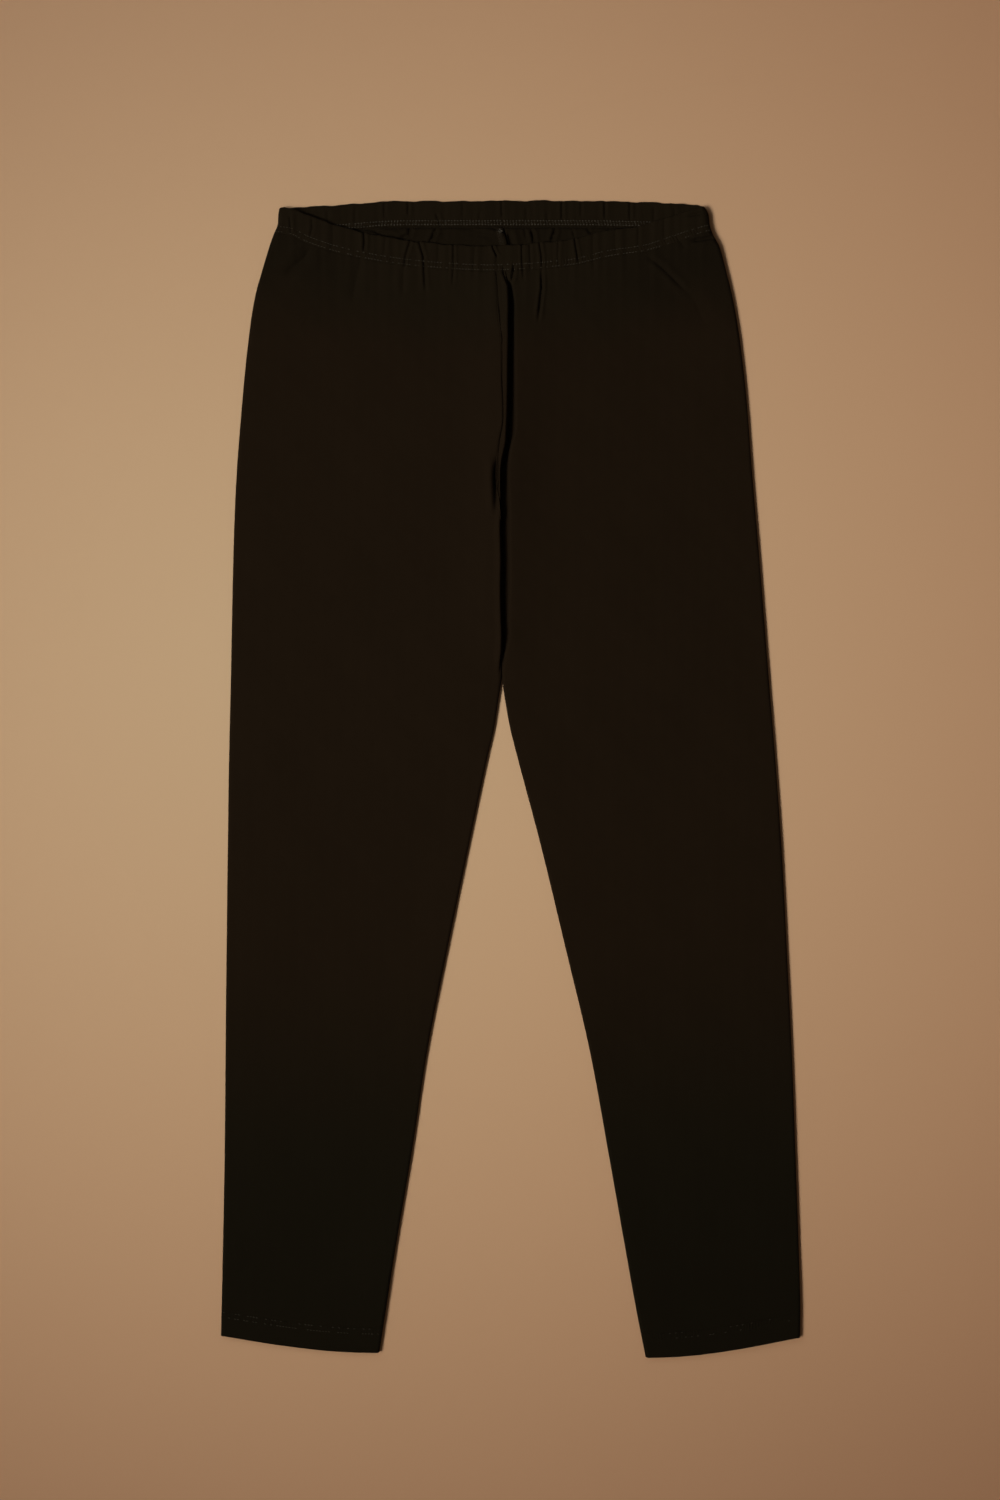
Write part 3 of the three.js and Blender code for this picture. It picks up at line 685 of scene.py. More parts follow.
def leg_rows(leg):
    """The depths of a leg's rows, closest at the gathers, and how many of them are close."""
    lap = np.array([-SEAM_LAP, 0, 0.3])
    gathers = spread(BAND.depth + 1.2, GATHERS_END, 0.95)
    close = np.concatenate([BAND.depth + lap, gathers, spread(GATHERS_END + 1.2, SOFT_FOLDS_END, 1.25)])
    hip = spread(SOFT_FOLDS_END + 2, CROTCH - 2.5, 3)
    thigh = spread(CROTCH, THIGH_END, 3.2)
    hem_top = leg.hem_depth - HEM.depth
    shin = spread(THIGH_END + 6, hem_top - 4, 7)
    return np.concatenate([close, hip, thigh, shin, hem_top - lap[::-1]]), len(close)


def lowest_near(relief, columns, rows):
    """The lowest relief within a few columns and rows, which a coarser face can follow from below."""
    low = relief.copy()
    for _ in range(columns):
        low[:, 1:-1] = np.minimum(low[:, 1:-1], np.minimum(low[:, :-2], low[:, 2:]))
    for _ in range(rows):
        low[1:-1] = np.minimum(low[1:-1], np.minimum(low[:-2], low[2:]))
    return low


def make_leg(leg, material):
    """One leg panel: a thin shell, open along the centre seams and closed below the crotch."""
    depths, close = leg_rows(leg)
    turn, (outer_columns, outer_below, inner_columns, inner_below) = leg_columns(leg, depths)
    depth = depths[:, None] + 0 * turn
    base = lay(leg, turn, depth)
    way = wall_way(leg, turn, depth)
    relief = front_relief(leg, turn, base, depth) + np.maximum(back_relief(leg, turn, base, depth), 0)
    under = LAP_DIP * (ramp(LAP_FADE, 0, depth - depths[0]) + ramp(LAP_FADE, 0, depths[-1] - depth))
    outer = base + UP * relief[..., None] + way * under[..., None]
    beneath = np.where(turn < SIDE_MIDDLE, lowest_near(relief, columns=4, rows=2) - relief, 0)
    inner = outer + UP * beneath[..., None] + way * CLOTH_THICKNESS
    run = run_along(base[close])
    flat = np.stack(np.broadcast_arrays(run[None, :], depth), axis=-1)

    cloth = Patchwork()
    crotch = int(np.argmax(depths >= CROTCH))
    seen = int(np.argmax(depths > INSIDE_SEEN))
    below = range(close, len(depths))
    inside_below = sorted({*range(seen, len(depths), 2), crotch, len(depths) - 1})
    rims = []
    for points, zones in (
        (outer, ((range(close), outer_columns), (below, outer_below))),
        (inner, ((range(seen), inner_columns), (inside_below, inner_below))),
    ):
        chosen = [np.ix_(rows, columns) for rows, columns in zones]
        grids = [cloth.add(points[choice], flat[choice]) for choice in chosen]
        (upper_rows, upper_columns), (lower_rows, lower_columns) = zones
        cloth.faces += strip_quads(grids[0]) + strip_quads(grids[1])
        cloth.faces += zipped(grids[0][-1], grids[1][0], upper_columns, lower_columns)
        closed = np.array(lower_rows) >= crotch
        cloth.weld(grids[1][closed, -1], grids[1][closed, 0])
        rows = [row for row in (*upper_rows, *lower_rows) if row <= crotch]
        edges = [np.concatenate([grid[:, column] for grid in grids])[: len(rows)] for column in (0, -1)]
        ends = [(grids[0][0], upper_columns), (grids[1][-1], lower_columns)]
        rims.append([*ends, *((edge, rows) for edge in edges)])
    for (outside, places_a), (inside, places_b) in zip(*rims):
        cloth.faces += zipped(outside, inside, places_a, places_b)
    piece = cloth.build(f"leg_{leg.name}_cloth", material, "jersey")
    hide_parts(f"leg_{leg.name}")
    return piece


# Rings of doubled cloth


def ring_profile(ring):
    """Rows round a doubled ring, as (distance from its folded edge, part of the way into the wall)."""
    radius = ring.thickness / 2
    lip = [(ring.depth + 0.05, 0.35), (ring.depth, 0.02), (ring.depth - 0.4, 0)]
    flank = [(distance, 0) for distance in spread(radius + 0.5, ring.depth - 0.9, 0.85)[::-1]]
    angles = np.linspace(0, math.pi, 9)
    fold = [(radius * (1 - math.sin(angle)), (1 - math.cos(angle)) / 2) for angle in angles]
    inside = [(distance, 1) for distance, _ in flank[::-1]]
    return [*lip, *flank, *fold, *inside, (ring.depth - 0.35, 0.95), (ring.depth - 0.02, 0.65)]


def depth_on(leg, ring, away):
    """The depth on a leg of a distance from a ring's folded edge, which is the top or the bottom edge."""
    return leg.hem_depth - away if ring is HEM else away


def doubled_ring(name, slot, material, halves, ring, relief, seamed):
    """A closed ring of doubled cloth, from runs of turns round one or two legs.

    The relief gives how far the outer and inner faces are raised, and how far the edge is moved up, at the
    points of a run.
    """
    distance, into = (np.array(column)[:, None] for column in zip(*ring_profile(ring)))
    cloth, grids, start = Patchwork(), [], 0.0
    for leg, turns in halves:
        turn, away = np.meshgrid(turns, distance[:, 0])
        depth = depth_on(leg, ring, away)
        base = lay(leg, turn, depth, seamed)
        way = wall_way(leg, turn, depth, seamed)
        run = start + run_along(base[3])
        outside, inside, shift = relief(leg, turn, base, depth, away, run[None, :])
        raised = lerp(outside, inside, into)
        points = base + way * (ring.thickness * into)[..., None] + UP * raised[..., None]
        points[..., 1] += shift
        grids.append(cloth.add(points, np.stack(np.broadcast_arrays(run[None, :], depth), axis=-1)))
        start = run[-1] + 0.5
    numbers = np.concatenate(grids, axis=1)
    around = np.concatenate([numbers, numbers[:, :1]], axis=1)
    cloth.faces += strip_quads(np.concatenate([around, around[:1]]))
    return cloth.build(name, material, slot)


def waist_turns():
    """The columns round one half of the waistband, from the front seam to the back seam."""
    front = spread(0, 1, 0.42 / BAND_SPAN)
    side = np.linspace(1, 2, 16)[1:-1]
    back = spread(2, 3, 0.8 / BAND_SPAN)
    return np.concatenate([front, side, back])


def make_waistband(sizes, material):
    """The gathered casing, one ring of doubled cloth."""
    pitch = sizes.stitch_length / MM

    def relief(leg, turn, base, depth, away, run):
        sewn = seam_puckers(run, away, BAND, pitch)
        outside = front_relief(leg, turn, base, depth) + sewn * ramp(0, 0.2, 2 - turn)
        inside = np.maximum(back_relief(leg, turn, base, depth), -BAND_DENT) + sewn * ramp(2, 2.05, turn)
        gathered = EDGE_RUFFLE * ruffled(base[..., 0], depth, 7) * ramp(0, 0.1, np.abs(turn - SIDE_MIDDLE))
        return outside, inside, gathered * bell(away, 3)

    halves = [(RIGHT, waist_turns()[:-1]), (LEFT, waist_turns()[::-1][:-1])]
    piece = doubled_ring("waistband_cloth", "waistband", material, halves, BAND, relief, False)
    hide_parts("waistband")
    return piece


def hem_turns():
    """The columns round a hem."""
    tuck = np.linspace(0, 1, 8)
    front = spread(0, 1, 0.45 / HEM_SPAN)[1:-1]
    side = np.linspace(1, 2, 14)
    back = spread(2, 3, 1.2 / HEM_SPAN)[1:-1]
    return np.concatenate([tuck[::-1] * -1, front, side, back, 3 + tuck[:-1]])


def make_hem(leg, sizes, material):
    """A turned-up hem, one ring of doubled cloth."""
    pitch = sizes.stitch_length / MM

    def relief(hem_leg, turn, base, depth, away, run):
        sewn = seam_puckers(run, away, HEM, pitch) * ramp(0, 0.2, 2 - turn)
        outside = (sewn + front_relief(hem_leg, turn, base, depth)) * ramp(0, 0.3, 1 + turn)
        return outside, 0 * sewn, 0 * sewn

    halves = [(leg, hem_turns())]
    piece = doubled_ring(f"hem_{leg.name}_cloth", "hem", material, halves, HEM, relief, True)
    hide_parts(f"hem_{leg.name}")
    return piece


# Thread


def tubes(paths, ups, radii, sides):
    """Thread tubes along many short paths, (stitch, point, 3), with an upward way at every point."""
    along = np.gradient(paths, axis=1)
    along /= np.maximum(np.linalg.norm(along, axis=-1, keepdims=True), 1e-9)
    across = np.cross(along, ups)
    across /= np.maximum(np.linalg.norm(across, axis=-1, keepdims=True), 1e-9)
    upward = np.cross(across, along)
    angle = np.linspace(0, 2 * math.pi, sides, endpoint=False)
    ring = across[:, :, None] * np.cos(angle)[:, None] + upward[:, :, None] * np.sin(angle)[:, None]
    return paths[:, :, None] + ring * np.asarray(radii)[None, :, None, None]


def thread_mesh(name, groups, material, slot):
    """One mesh of many thread tubes."""
    thread = Patchwork()
    for points, length in groups:
        stitches, rings, sides = points.shape[:3]
        around, down = np.arange(sides)[None, None, :] * 0.2, np.linspace(0, length, rings)[None, :, None]
        flat = np.stack(np.broadcast_arrays(around, down), axis=-1)
        numbers = thread.add(points, np.broadcast_to(flat, (stitches, rings, sides, 2)))
        closed = np.concatenate([numbers, numbers[:, :, :1]], axis=2)
        for stitch in closed:
            thread.faces += strip_quads(stitch)
        thread.faces += numbers[:, 0].tolist() + numbers[:, -1].tolist()
    return thread.build(name, material, slot)


def along_row(face, start, end, pitch):
    """Points and upward ways at even steps along a row of a surface, from one place to another."""
    samples = 2600
    places = np.linspace(start, end, samples)
    line = face(places)[0]
    run = run_along(line)
    steps = np.arange(0, run[-1], pitch)
    at = np.interp(steps, run, places)
    return face(at)


def needle_stitches(points, ups, radius, hidden, chance):
    """Straight stitches, each a low arch of thread from hole to hole, with a share drawn into the cloth."""
    start, end = points[:-1], points[1:]
    shares = np.array([0.12, 0.28, 0.42, 0.58, 0.72, 0.88])
    rise = np.array([-0.5, 0.0, 0.26, 0.26, 0.0, -0.5])
    paths = lerp(start[:, None], end[:, None], shares[None, :, None])
    slant = (shares - 0.5)[None, :, None] * chance.normal(0.35, 0.25, (len(start), 1, 1))
    sunk = np.where(chance.uniform(0, 1, (len(start), 1, 1)) < hidden, -0.55, 0)
    lift = chance.uniform(0.6, 1.2, (len(start), 1, 1))
    ways = lerp(ups[:-1, None], ups[1:, None], shares[None, :, None])
    paths = paths + ways * (rise[None, :, None] * lift + sunk) + slant * np.array([0, 1, 0])
    return tubes(paths, ways, radius * np.array([0.5, 0.95, 1, 1, 0.95, 0.5]), 6)


def cloth_face(leg, depth, offset, relief, seamed, inside=0.0):
    """A function from turns to points just off the cloth at a depth, with their upward ways."""

    def face(turn):
        at = np.full(np.shape(turn), float(depth))
        base = lay(leg, turn, at, seamed)
        way = wall_way(leg, turn, at, seamed)
        lift = relief(leg, turn, base, at) - NEEDLE_GROOVE
        up = way if inside else -way
        return base + way * inside + UP * lift[..., None] + up * offset, up

    return face


def make_front_stitches(sizes, material):
    """Two needle rows along the outside of the waist casing, round both side folds."""
    chance = np.random.default_rng(41)
    pitch, radius = sizes.stitch_length / MM, sizes.thread_thickness / MM / 2
    groups = []
    for needle in BAND.needles:
        for leg in (RIGHT, LEFT):
            face = cloth_face(leg, needle, radius * 0.5, front_relief, False)
            row = along_row(face, 0.004, 1.8, pitch)
            groups.append((needle_stitches(*row, radius, 0.3, chance), pitch))
    return thread_mesh("waist_needle_rows", groups, material, "overlock")


def make_hem_stitches(sizes, material):
    """Two needle rows round each hem."""
    chance = np.random.default_rng(43)
    pitch, radius = sizes.stitch_length / MM, sizes.thread_thickness / MM / 2
    pieces = []
    for leg in (RIGHT, LEFT):
        groups = []
        for needle in HEM.needles:
            face = cloth_face(leg, depth_on(leg, HEM, needle), radius * 0.3, front_relief, True)
            stitches = needle_stitches(*along_row(face, -0.7, 1.8, pitch), radius, leg.hem_hidden, chance)
            groups.append((stitches, pitch))
        pieces.append(thread_mesh(f"hem_{leg.name}_needle_rows", groups, material, "overlock"))
    return pieces


def make_looper_cover(sizes, material):
    """The looper side of the waist's cover stitch, inside the back: loops joined by crossing thread."""
    chance = np.random.default_rng(47)
    pitch, radius = sizes.stitch_length / MM, sizes.looper_thickness / MM / 2
    groups = []
    for leg in (RIGHT, LEFT):
        rows = []
        for depth in LOOPER_ROWS:
            face = cloth_face(leg, depth, radius, back_relief, False, BAND.thickness)
            rows.append(along_row(face, 2.998, 2.05, pitch))
        count = min(len(rows[0][0]), len(rows[1][0])) - 1
        upper, lower = (row[0][: count + 1] for row in rows)
        ups = rows[0][1][:count]
        shares = np.linspace(0, 1, 8)
        hump = np.sin(math.pi * shares)[None, :, None]
        thin = radius * np.array([0.5, 0.9, 1.1, 1.1, 1.1, 1.1, 0.9, 0.5])
        ways = np.repeat(ups[:, None], len(shares), axis=1)
        across = np.array([0, 1.0, 0])
        for start, end, height, bow, thick in (
            (upper[:-1], upper[1:], 0.6, 0.2, 0.9),
            (upper[:-1], upper[1:], 0.4, -0.25, 0.75),
            (lower[:-1], lower[1:], 0.8, -0.25, 1.05),
            (lower[:-1], lower[1:], 0.6, 0.3, 0.95),
            (upper[:-1], lower[1:], 0.1, 0, 0.35),
            (lower[:-1], upper[1:], 0.05, 0, 0.35),
        ):
            uneven = chance.uniform(0.3, 1.25, (count, 1, 1))
            stray = chance.normal(0, 0.1, (count, 1, 3))
            path = lerp(start[:, None], end[:, None], 0.2 + 0.6 * shares[None, :, None])
            path = path + hump * (ups[:, None] * height * uneven + across * bow * uneven + stray)
            groups.append((tubes(path - UP * 0.12, ways, thin * thick, 5), pitch))
    return thread_mesh("waist_looper_cover", groups, material, "overlock")


# Back seam allowance


def on_allowance(drop, share):
    """Points on top of the allowance, from the centre back seam to its overlocked edge."""
    seam = read(CENTRE, "back", drop)
    sway = 0.7 * waves(drop, 0 * drop, 52, 34, 9, 4) * share
    x = seam - ALLOWANCE_WIDTH * share + sway
    turn = 3 - np.clip((seam - x) / LEG_SPAN, 0, 1)
    depth = drop - read(WAIST_EDGE, "back", 0.5)
    points = np.stack([x, WAIST_TOP - drop, 0 * x], axis=-1)
    just_short = 0.9999
    below = back_relief(RIGHT, turn * just_short, points, depth)
    crown = 0.5 * np.sin(math.pi * share) + 0.2 * waves(drop, share * 9, 51, 30, 7, 5)
    points[..., 2] = CLOTH_THICKNESS + np.maximum(below, 0) + ALLOWANCE_LIFT + crown
    return points


def make_seam_allowance(sizes, cloth_material, overlock_painted_shade_material, thread_material):
    """The overlocked edge of the centre back seam, pressed to the right, with a loose thread end."""
    low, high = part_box("back_seam_allowance")
    top, bottom = WAIST_TOP - high[1] / MM, WAIST_TOP - low[1] / MM
    drop, share = np.meshgrid(spread(top, bottom, 1.2), np.linspace(0, 1, 11), indexing="ij")
    upper = on_allowance(drop, share)
    lower = upper - UP * ALLOWANCE_THICKNESS
    flat = np.stack([share * ALLOWANCE_WIDTH, drop], axis=-1)
    cloth = Patchwork()
    numbers = [cloth.add(points, flat) for points in (upper, lower)]
    for grid in numbers:
        cloth.faces += strip_quads(grid)
    for rim in ((0, slice(None)), (-1, slice(None)), (slice(None), 0), (slice(None), -1)):
        cloth.faces += strip_quads([grid[rim] for grid in numbers])
    strip = cloth.build("seam_allowance_cloth", cloth_material, "overlock")
    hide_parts("back_seam_allowance")

    chance = np.random.default_rng(53)
    pitch, radius = sizes.stitch_length / MM * 0.8, sizes.looper_thickness / MM / 2
    steps = np.arange(top + 0.4, bottom - pitch, pitch)
    shares = np.linspace(0, 1, 6)
    groups = []
    for start, end, skew in ((0.35, 1.02, 0.0), (1.02, 0.35, 0.5), (0.35, 0.36, 0.0)):
        at = steps[:, None] + pitch * (shares[None, :] * 0.5 + skew)
        path = on_allowance(at, lerp(start, end, shares[None, :] + 0 * at)) + UP * radius * 0.6
        path = path + chance.normal(0, 0.08, (len(steps), 1, 3))
        ways = np.broadcast_to(UP, path.shape)
        groups.append((tubes(path, ways, radius * 0.6 * np.array([0.7, 1, 1, 1, 1, 0.7]), 5), pitch))

    tuft_x, tuft_drop = TUFT_PLACE
    height = on_allowance(np.array(tuft_drop), np.array(0.8))[2]
    tuft = np.array([[[tuft_x, WAIST_TOP - tuft_drop, 0]]]) + UP * height
    reach = chance.uniform(-1, 1, (11, 1, 3)) * np.array([1.3, 1.7, 0.4])
    bow = chance.uniform(-1, 1, (11, 1, 3)) * np.array([1.2, 1.2, 0.3]) + UP
    strands = tuft + reach * (shares * 2 - 0.6)[None, :, None]
    strands = strands + bow * np.sin(math.pi * shares)[None, :, None]
    ways = np.broadcast_to(UP, strands.shape)
    loose = [(tubes(strands, ways, radius * np.array([0.6, 1, 1, 1, 1, 0.6]), 5), pitch)]
    return (
        strip,
        thread_mesh("seam_allowance_overlock", groups, overlock_painted_shade_material, "overlock"),
        thread_mesh("loose_thread_end", loose, thread_material, "overlock"),
    )


# Finishes


class Wire:
    """A shader socket that can be used in sums and products."""

    def __init__(self, finish, socket):
        self.finish, self.socket = finish, socket

    def __add__(self, other):
        return self.finish.math("ADD", self, other)

    def __sub__(self, other):
        return self.finish.math("SUBTRACT", self, other)

    def __rsub__(self, other):
        return self.finish.math("SUBTRACT", other, self)

    def __mul__(self, other):
        return self.finish.math("MULTIPLY", self, other)

    def __truediv__(self, other):
        return self.finish.math("DIVIDE", self, other)

    __radd__ = __add__
    __rmul__ = __mul__


class Finish:
    """A material that is built node by node."""

    def __init__(self, name, colour):
        self.material = bpy.data.materials.new(name)
        self.material.use_nodes = True
        self.material.diffuse_color = (*colour, 1)
        self.tree = self.material.node_tree
        self.shader = self.tree.nodes["Principled BSDF"]

    def put(self, socket, value):
        if isinstance(value, Wire):
            self.tree.links.new(value.socket, socket)
        else:
            socket.default_value = value

    def node(self, kind, settings=None, values=None, output=0):
        """Adds a node: its settings first, then the values or links of its sockets."""
        made = self.tree.nodes.new(kind)
        for key, value in (settings or {}).items():
            setattr(made, key, value)
        for key, value in (values or {}).items():
            self.put(made.inputs[key], value)
        return Wire(self, made.outputs[output])

    def math(self, operation, a, b=None):
        values = {0: a} if b is None else {0: a, 1: b}
        return self.node("ShaderNodeMath", {"operation": operation}, values)

    def mix(self, share, a, b):
        """A colour between two colours."""
        values = {"Factor": share, 6: a, 7: b}
        return self.node("ShaderNodeMix", {"data_type": "RGBA"}, values, output=2)

    def blend(self, kind, a, b):
        """Two colours put together, as by multiplying."""
        settings = {"data_type": "RGBA", "blend_type": kind}
        return self.node("ShaderNodeMix", settings, {"Factor": 1.0, 6: a, 7: b}, output=2)

    def between(self, value, low, high):
        """0 at low and 1 at high, smooth between them."""
        values = {"Value": value, "From Min": low, "From Max": high}
        return self.node("ShaderNodeMapRange", {"interpolation_type": "SMOOTHSTEP"}, values)

    def solid_place(self):
        """The place in space, in metres."""
        return self.node("ShaderNodeTexCoord", output=3)

    def flat_place(self):
        """The place on flat cloth, across and down, or round a thread and along it, in metres."""
        place = self.node("ShaderNodeUVMap", {"uv_map": "cloth"})
        return [self.node("ShaderNodeSeparateXYZ", None, {0: place}, output=i) for i in (0, 1)]

    def noise(self, place, scale, detail, roughness):
        values = {"Vector": place, "Scale": scale, "Detail": detail, "Roughness": roughness}
        return self.node("ShaderNodeTexNoise", None, values)

    def wear(self, **values):
        """Sets the shader's own sockets, named with underscores."""
        for key, value in values.items():
            self.put(self.shader.inputs[key.replace("_", " ").title().replace("Ior", "IOR")], value)
        return self.material

    def bump(self, height, distance, strength):
        values = {"Height": height, "Distance": distance, "Strength": strength}
        return self.node("ShaderNodeBump", None, values)


def rgba(colour, share=1.0):
    return (*(channel * share for channel in colour), 1)


def jersey(name, looks, sides=1.0):
    """Plain-knit cotton jersey: fine wales of small V stitches, fibre fuzz, and slight random unevenness of
    tone.
    It is darker towards the waist and the ankles.

    Sides is how much of its waist tone is left towards the side folds and inside the back: a painted shade,
    as these lie in shade.
    """
    finish = Finish(name, looks.cloth)
    along, down = finish.flat_place()
    solid = finish.solid_place()
    across = finish.math("ABSOLUTE", finish.math("FRACT", along / looks.wale_pitch) - 0.5)
    slant = down / (looks.wale_pitch * 0.8) + across * 0.9
    loop = finish.math("SINE", slant * (2 * math.pi)) * 0.5 + 0.5
    rib = 1 - finish.math("POWER", across * 2, 2.0)
    stitch = loop * 0.45 + rib * 0.55
    fuzz = finish.noise(solid, 2600.0, 4.0, 0.7)
    uneven = finish.noise(solid, 9.0, 4.0, 0.55)
    slub = finish.noise(solid, 120.0, 3.0, 0.6)
    at_waist = finish.between(down + uneven * 0.07, 0.155, 0.075)
    at_ankle = finish.between(down + uneven * 0.05, 0.62, 0.84)
    # Painted shade: the waist tone is darkened towards the side folds and inside the back, which lie in
    # shade.
    painted_shade_at_sides = finish.between(along, 0.09, 0.17)
    waist = finish.mix(painted_shade_at_sides, rgba(looks.waist), rgba(looks.waist, sides))
    tone_and_painted_shade = finish.mix(at_waist, rgba(looks.cloth), waist)
    tone_and_painted_shade = finish.mix(at_ankle, tone_and_painted_shade, rgba(looks.ankle))
    shade = uneven * 0.3 + slub * 0.2 + stitch * 0.3 + fuzz * 0.3 - 0.05
    light = finish.blend("MULTIPLY", tone_and_painted_shade, finish.mix(shade, (0.7, 0.7, 0.7, 1), (1.3, 1.3, 1.3, 1)))
    return finish.wear(
        base_color=light,
        roughness=fuzz * 0.16 + 0.82,
        normal=finish.bump(stitch * 0.6 + fuzz * 0.5, 0.00014, 0.5),
        specular_ior_level=looks.gloss,
        sheen_weight=looks.sheen,
        sheen_roughness=0.5,
        sheen_tint=rgba(looks.sheen_colour),
    )


def thread_finish(name, colour, looks):
    """Spun polyester sewing thread, with the slant of its twist."""
    finish = Finish(name, colour)
    around, along = finish.flat_place()
    twist_length = 0.7 * MM
    twist = finish.math("SINE", (around * 2.2 + along) * (2 * math.pi / twist_length)) * 0.5 + 0.5
    fluff = finish.noise(finish.solid_place(), 3000.0, 3.0, 0.6)
    base = finish.mix(twist * 0.5 + fluff * 0.5, rgba(colour, 0.55), rgba(colour, 1.45))
    return finish.wear(
        base_color=base,
        roughness=0.7 + fluff * 0.2,
        normal=finish.bump(twist * 0.6 + fluff * 0.4, 0.00005, 0.6),
        specular_ior_level=looks.gloss * 2,
        sheen_weight=looks.sheen,
        sheen_roughness=0.4,
    )


def floor_finish_with_painted_reflection(middle, edge):
    """Smooth painted board with the faintest mottle; its colour is painted greyer towards its middle, a
    painted reflection of the key light where the floor is brightest.
    """
    finish = Finish("floor_paint", middle)
    solid = finish.solid_place()
    places = {0: solid, 1: FLOOR_REFLECTION_MIDDLE}
    away = finish.node("ShaderNodeVectorMath", {"operation": "DISTANCE"}, places, output=1)
    values = {"Value": away, "From Min": 0.0, "From Max": FLOOR_REFLECTION_REACH}
    share = finish.node("ShaderNodeMapRange", None, values)
    # Greyer towards the middle: a painted reflection of the key light.
    tone = finish.mix(share, rgba(middle), rgba(edge))
    mottle = finish.mix(finish.noise(solid, 3.0, 5.0, 0.6), rgba((1, 1, 1), 0.985), rgba((1, 1, 1), 1.015))
    base = finish.blend("MULTIPLY", tone, mottle)
    return finish.wear(base_color=base, roughness=0.9, specular_ior_level=0.2)


# What a user may change


def size(name, description, millimetres):
    settings = {"name": name, "description": description, "default": millimetres * MM}
    return bpy.props.FloatProperty(unit="LENGTH", **settings)


def tint(name, description, default):
    settings = {"name": name, "description": description, "default": default}
    return bpy.props.FloatVectorProperty(subtype="COLOR", **settings)


class LeggingsSizes(bpy.types.PropertyGroup):
    """Sizes of the sewing."""

    stitch_length: size("Stitch length", "Length of one stitch", 2.5)
    thread_thickness: size("Needle thread", "Thickness of the needle thread", 0.4)
    looper_thickness: size("Looper thread", "Thickness of the looper thread", 0.42)


class LeggingsLooks(bpy.types.PropertyGroup):
    """Colours and surface of the cloth and thread, and the floor under them."""

    cloth: tint("Cloth", "Colour of the jersey", (0.0106, 0.0061, 0.0027))
    waist: tint("Waist", "Its colour at the waist", (0.0091, 0.006, 0.0027))
    ankle: tint("Ankle", "Its colour at the hems", (0.0072, 0.0054, 0.0025))
    thread: tint("Thread", "Colour of the thread", (0.052, 0.044, 0.031))
    # The overlock thread's colour is darkened as painted shade, for the dark fold it lies in.
    overlock: tint("Overlock", "Its thread colour", (0.018, 0.013, 0.008))
    sheen_colour: tint("Sheen", "Colour of the cloth's sheen", (0.5, 0.42, 0.33))
    # The floor's middle colour is greyer than its edge colour: a painted reflection of the key light.
    floor: tint("Floor", "Colour of its middle", (0.52, 0.3592, 0.2057))
    floor_edge: tint("Floor edge", "Its outer colour", (0.52, 0.2808, 0.1491))
    wale_pitch: size("Wale pitch", "Width of one column of stitches", 0.75)
    gloss: bpy.props.FloatProperty(name="Gloss", description="Specular level of the cloth", default=0.03)
    sheen: bpy.props.FloatProperty(name="Sheen", description="Weight of the cloth's sheen", default=0.012)


def group_of(context):
    return context.scene.leggings_sizes, context.scene.leggings_looks


class StageOperator(bpy.types.Operator):
    """Makes the floor, the lights and the camera above it."""

    bl_idname = "leggings.stage"
    bl_label = "Stage"

    def execute(self, context):
        looks = context.scene.leggings_looks
        mesh = bpy.data.meshes.new("floor")
        reach, under = 24, -0.0002
        corners = [(x * reach, y * reach, under) for x, y in ((-1, -1), (1, -1), (1, 1), (-1, 1))]
        mesh.from_pydata(corners, [], [(0, 1, 2, 3)])
        mesh.materials.append(floor_finish_with_painted_reflection(looks.floor, looks.floor_edge))
        floor = placed("floor", mesh)
        floor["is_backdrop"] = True

        photo_height, photo_middle, camera_height = 1.2255, (-0.0098, 0.0237), 2.4
        camera = placed("camera", bpy.data.cameras.new("camera"))
        camera.data.lens = camera.data.sensor_width * camera_height / photo_height
        camera.location = (*photo_middle, camera_height)
        context.scene.camera = camera

        for name, place, aim, width, beam, power, colour in (
            ("key_softbox", (-2.09, -0.66, 3.18), (0.04, 0.11, 0), 1.15, 35.4, 6.41, (1, 0.975, 0.945)),
            ("fill_softbox", (-0.75, 0.58, 1.18), (0, 0, 0), 0.8, 180, 3.7, (0.9, 1, 1.12)),
        ):
            light = bpy.data.lights.new(name, "AREA")
            light.size, light.spread = width, math.radians(beam)
            light.energy, light.color = power, colour
            lamp = placed(name, light)
            lamp.location = place
            lamp.rotation_euler = (Vector(aim) - lamp.location).to_track_quat("-Z", "Y").to_euler()
        room_colour, room_strength = (1, 0.78, 0.63, 1), 0.09
        world = bpy.data.worlds.new("room")
        world.use_nodes = True
        walls = world.node_tree.nodes["Background"].inputs
        walls["Color"].default_value, walls["Strength"].default_value = room_colour, room_strength
        context.scene.world = world
        context.scene.view_settings.view_transform = "Standard"
        return {"FINISHED"}


class LegsOperator(bpy.types.Operator):
    """Makes the two leg panels, with the overlocked edge of the centre back seam."""

    bl_idname = "leggings.legs"
    bl_label = "Leg panels"

    def execute(self, context):
        sizes, looks = group_of(context)
        # The 0.84 is painted shade: the legs' waist tone darkened towards the side folds and inside the
        # back.
        cloth = jersey("jersey", looks, 0.84)
        # The overlock thread's darker colour is painted shade, for the fold beside the back seam.
        overlock = thread_finish("overlock_thread_painted_shade", looks.overlock, looks)
        thread = thread_finish("loose_thread", looks.thread, looks)
        allowance = make_seam_allowance(sizes, cloth, overlock, thread)
        right, left = make_leg(RIGHT, cloth), make_leg(LEFT, cloth)
        return {"FINISHED"}


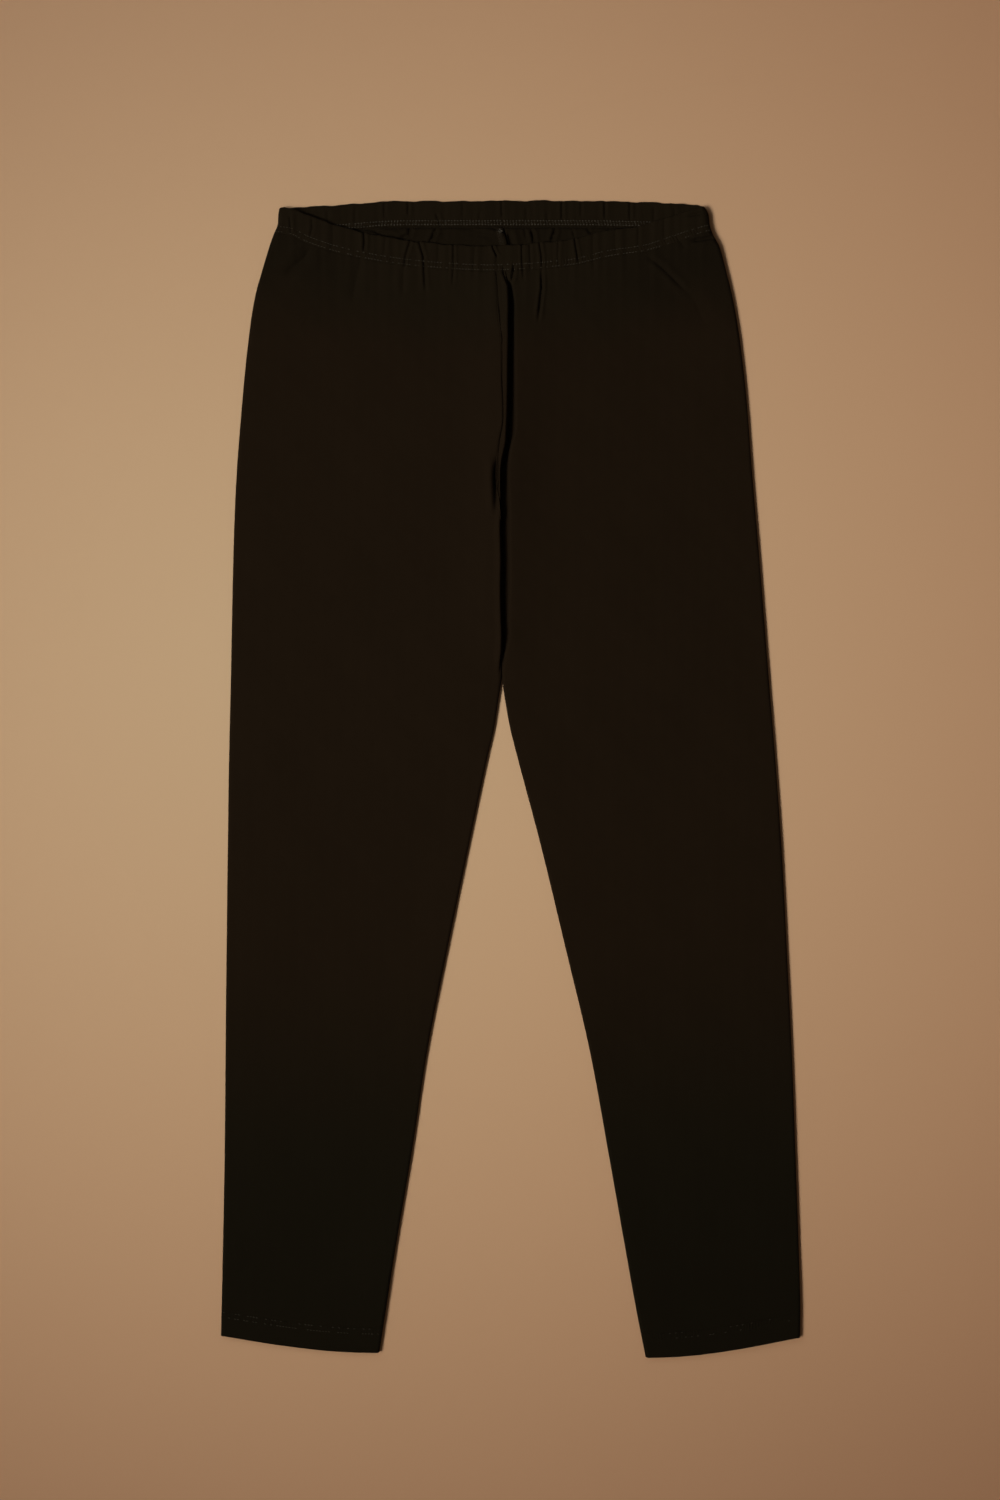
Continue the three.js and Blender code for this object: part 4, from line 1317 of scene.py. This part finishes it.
class WaistbandOperator(bpy.types.Operator):
    """Makes the gathered waist casing with both sides of its cover stitch."""

    bl_idname = "leggings.waistband"
    bl_label = "Waistband"

    def execute(self, context):
        sizes, looks = group_of(context)
        cloth = jersey("casing_jersey", looks)
        thread = thread_finish("cover_stitch_thread", looks.thread, looks)
        band = make_waistband(sizes, cloth)
        rows = [make_front_stitches(sizes, thread), make_looper_cover(sizes, thread)]
        return {"FINISHED"}


class HemsOperator(bpy.types.Operator):
    """Makes the two turned-up hems with their cover stitch."""

    bl_idname = "leggings.hems"
    bl_label = "Hems"

    def execute(self, context):
        sizes, looks = group_of(context)
        cloth = jersey("hem_jersey", looks)
        thread = thread_finish("hem_thread", looks.thread, looks)
        rows = make_hem_stitches(sizes, thread)
        for leg, row in zip((RIGHT, LEFT), rows):
            hem = make_hem(leg, sizes, cloth)
        return {"FINISHED"}


class LeggingsPanel(bpy.types.Panel):
    """Lists the pieces of the leggings in the 3D view's sidebar."""

    bl_idname = "VIEW3D_PT_leggings"
    bl_label = "Leggings"
    bl_space_type = "VIEW_3D"
    bl_region_type = "UI"
    bl_category = "Leggings"

    def draw(self, context):
        for group in group_of(context):
            for name in group.bl_rna.properties.keys():
                if name not in ("rna_type", "name"):
                    self.layout.prop(group, name)
        for operator in OPERATORS:
            self.layout.operator(operator.bl_idname)


OPERATORS = (StageOperator, LegsOperator, WaistbandOperator, HemsOperator)
CLASSES = (LeggingsSizes, LeggingsLooks, *OPERATORS, LeggingsPanel)


def register():
    for kind in CLASSES:
        bpy.utils.register_class(kind)
    bpy.types.Scene.leggings_sizes = bpy.props.PointerProperty(type=LeggingsSizes)
    bpy.types.Scene.leggings_looks = bpy.props.PointerProperty(type=LeggingsLooks)


def unregister():
    del bpy.types.Scene.leggings_looks
    del bpy.types.Scene.leggings_sizes
    for kind in reversed(CLASSES):
        bpy.utils.unregister_class(kind)


def main():
    register()
    bpy.ops.leggings.stage()
    bpy.ops.leggings.legs()
    bpy.ops.leggings.waistband()
    bpy.ops.leggings.hems()


if __name__ == "__main__":
    main()
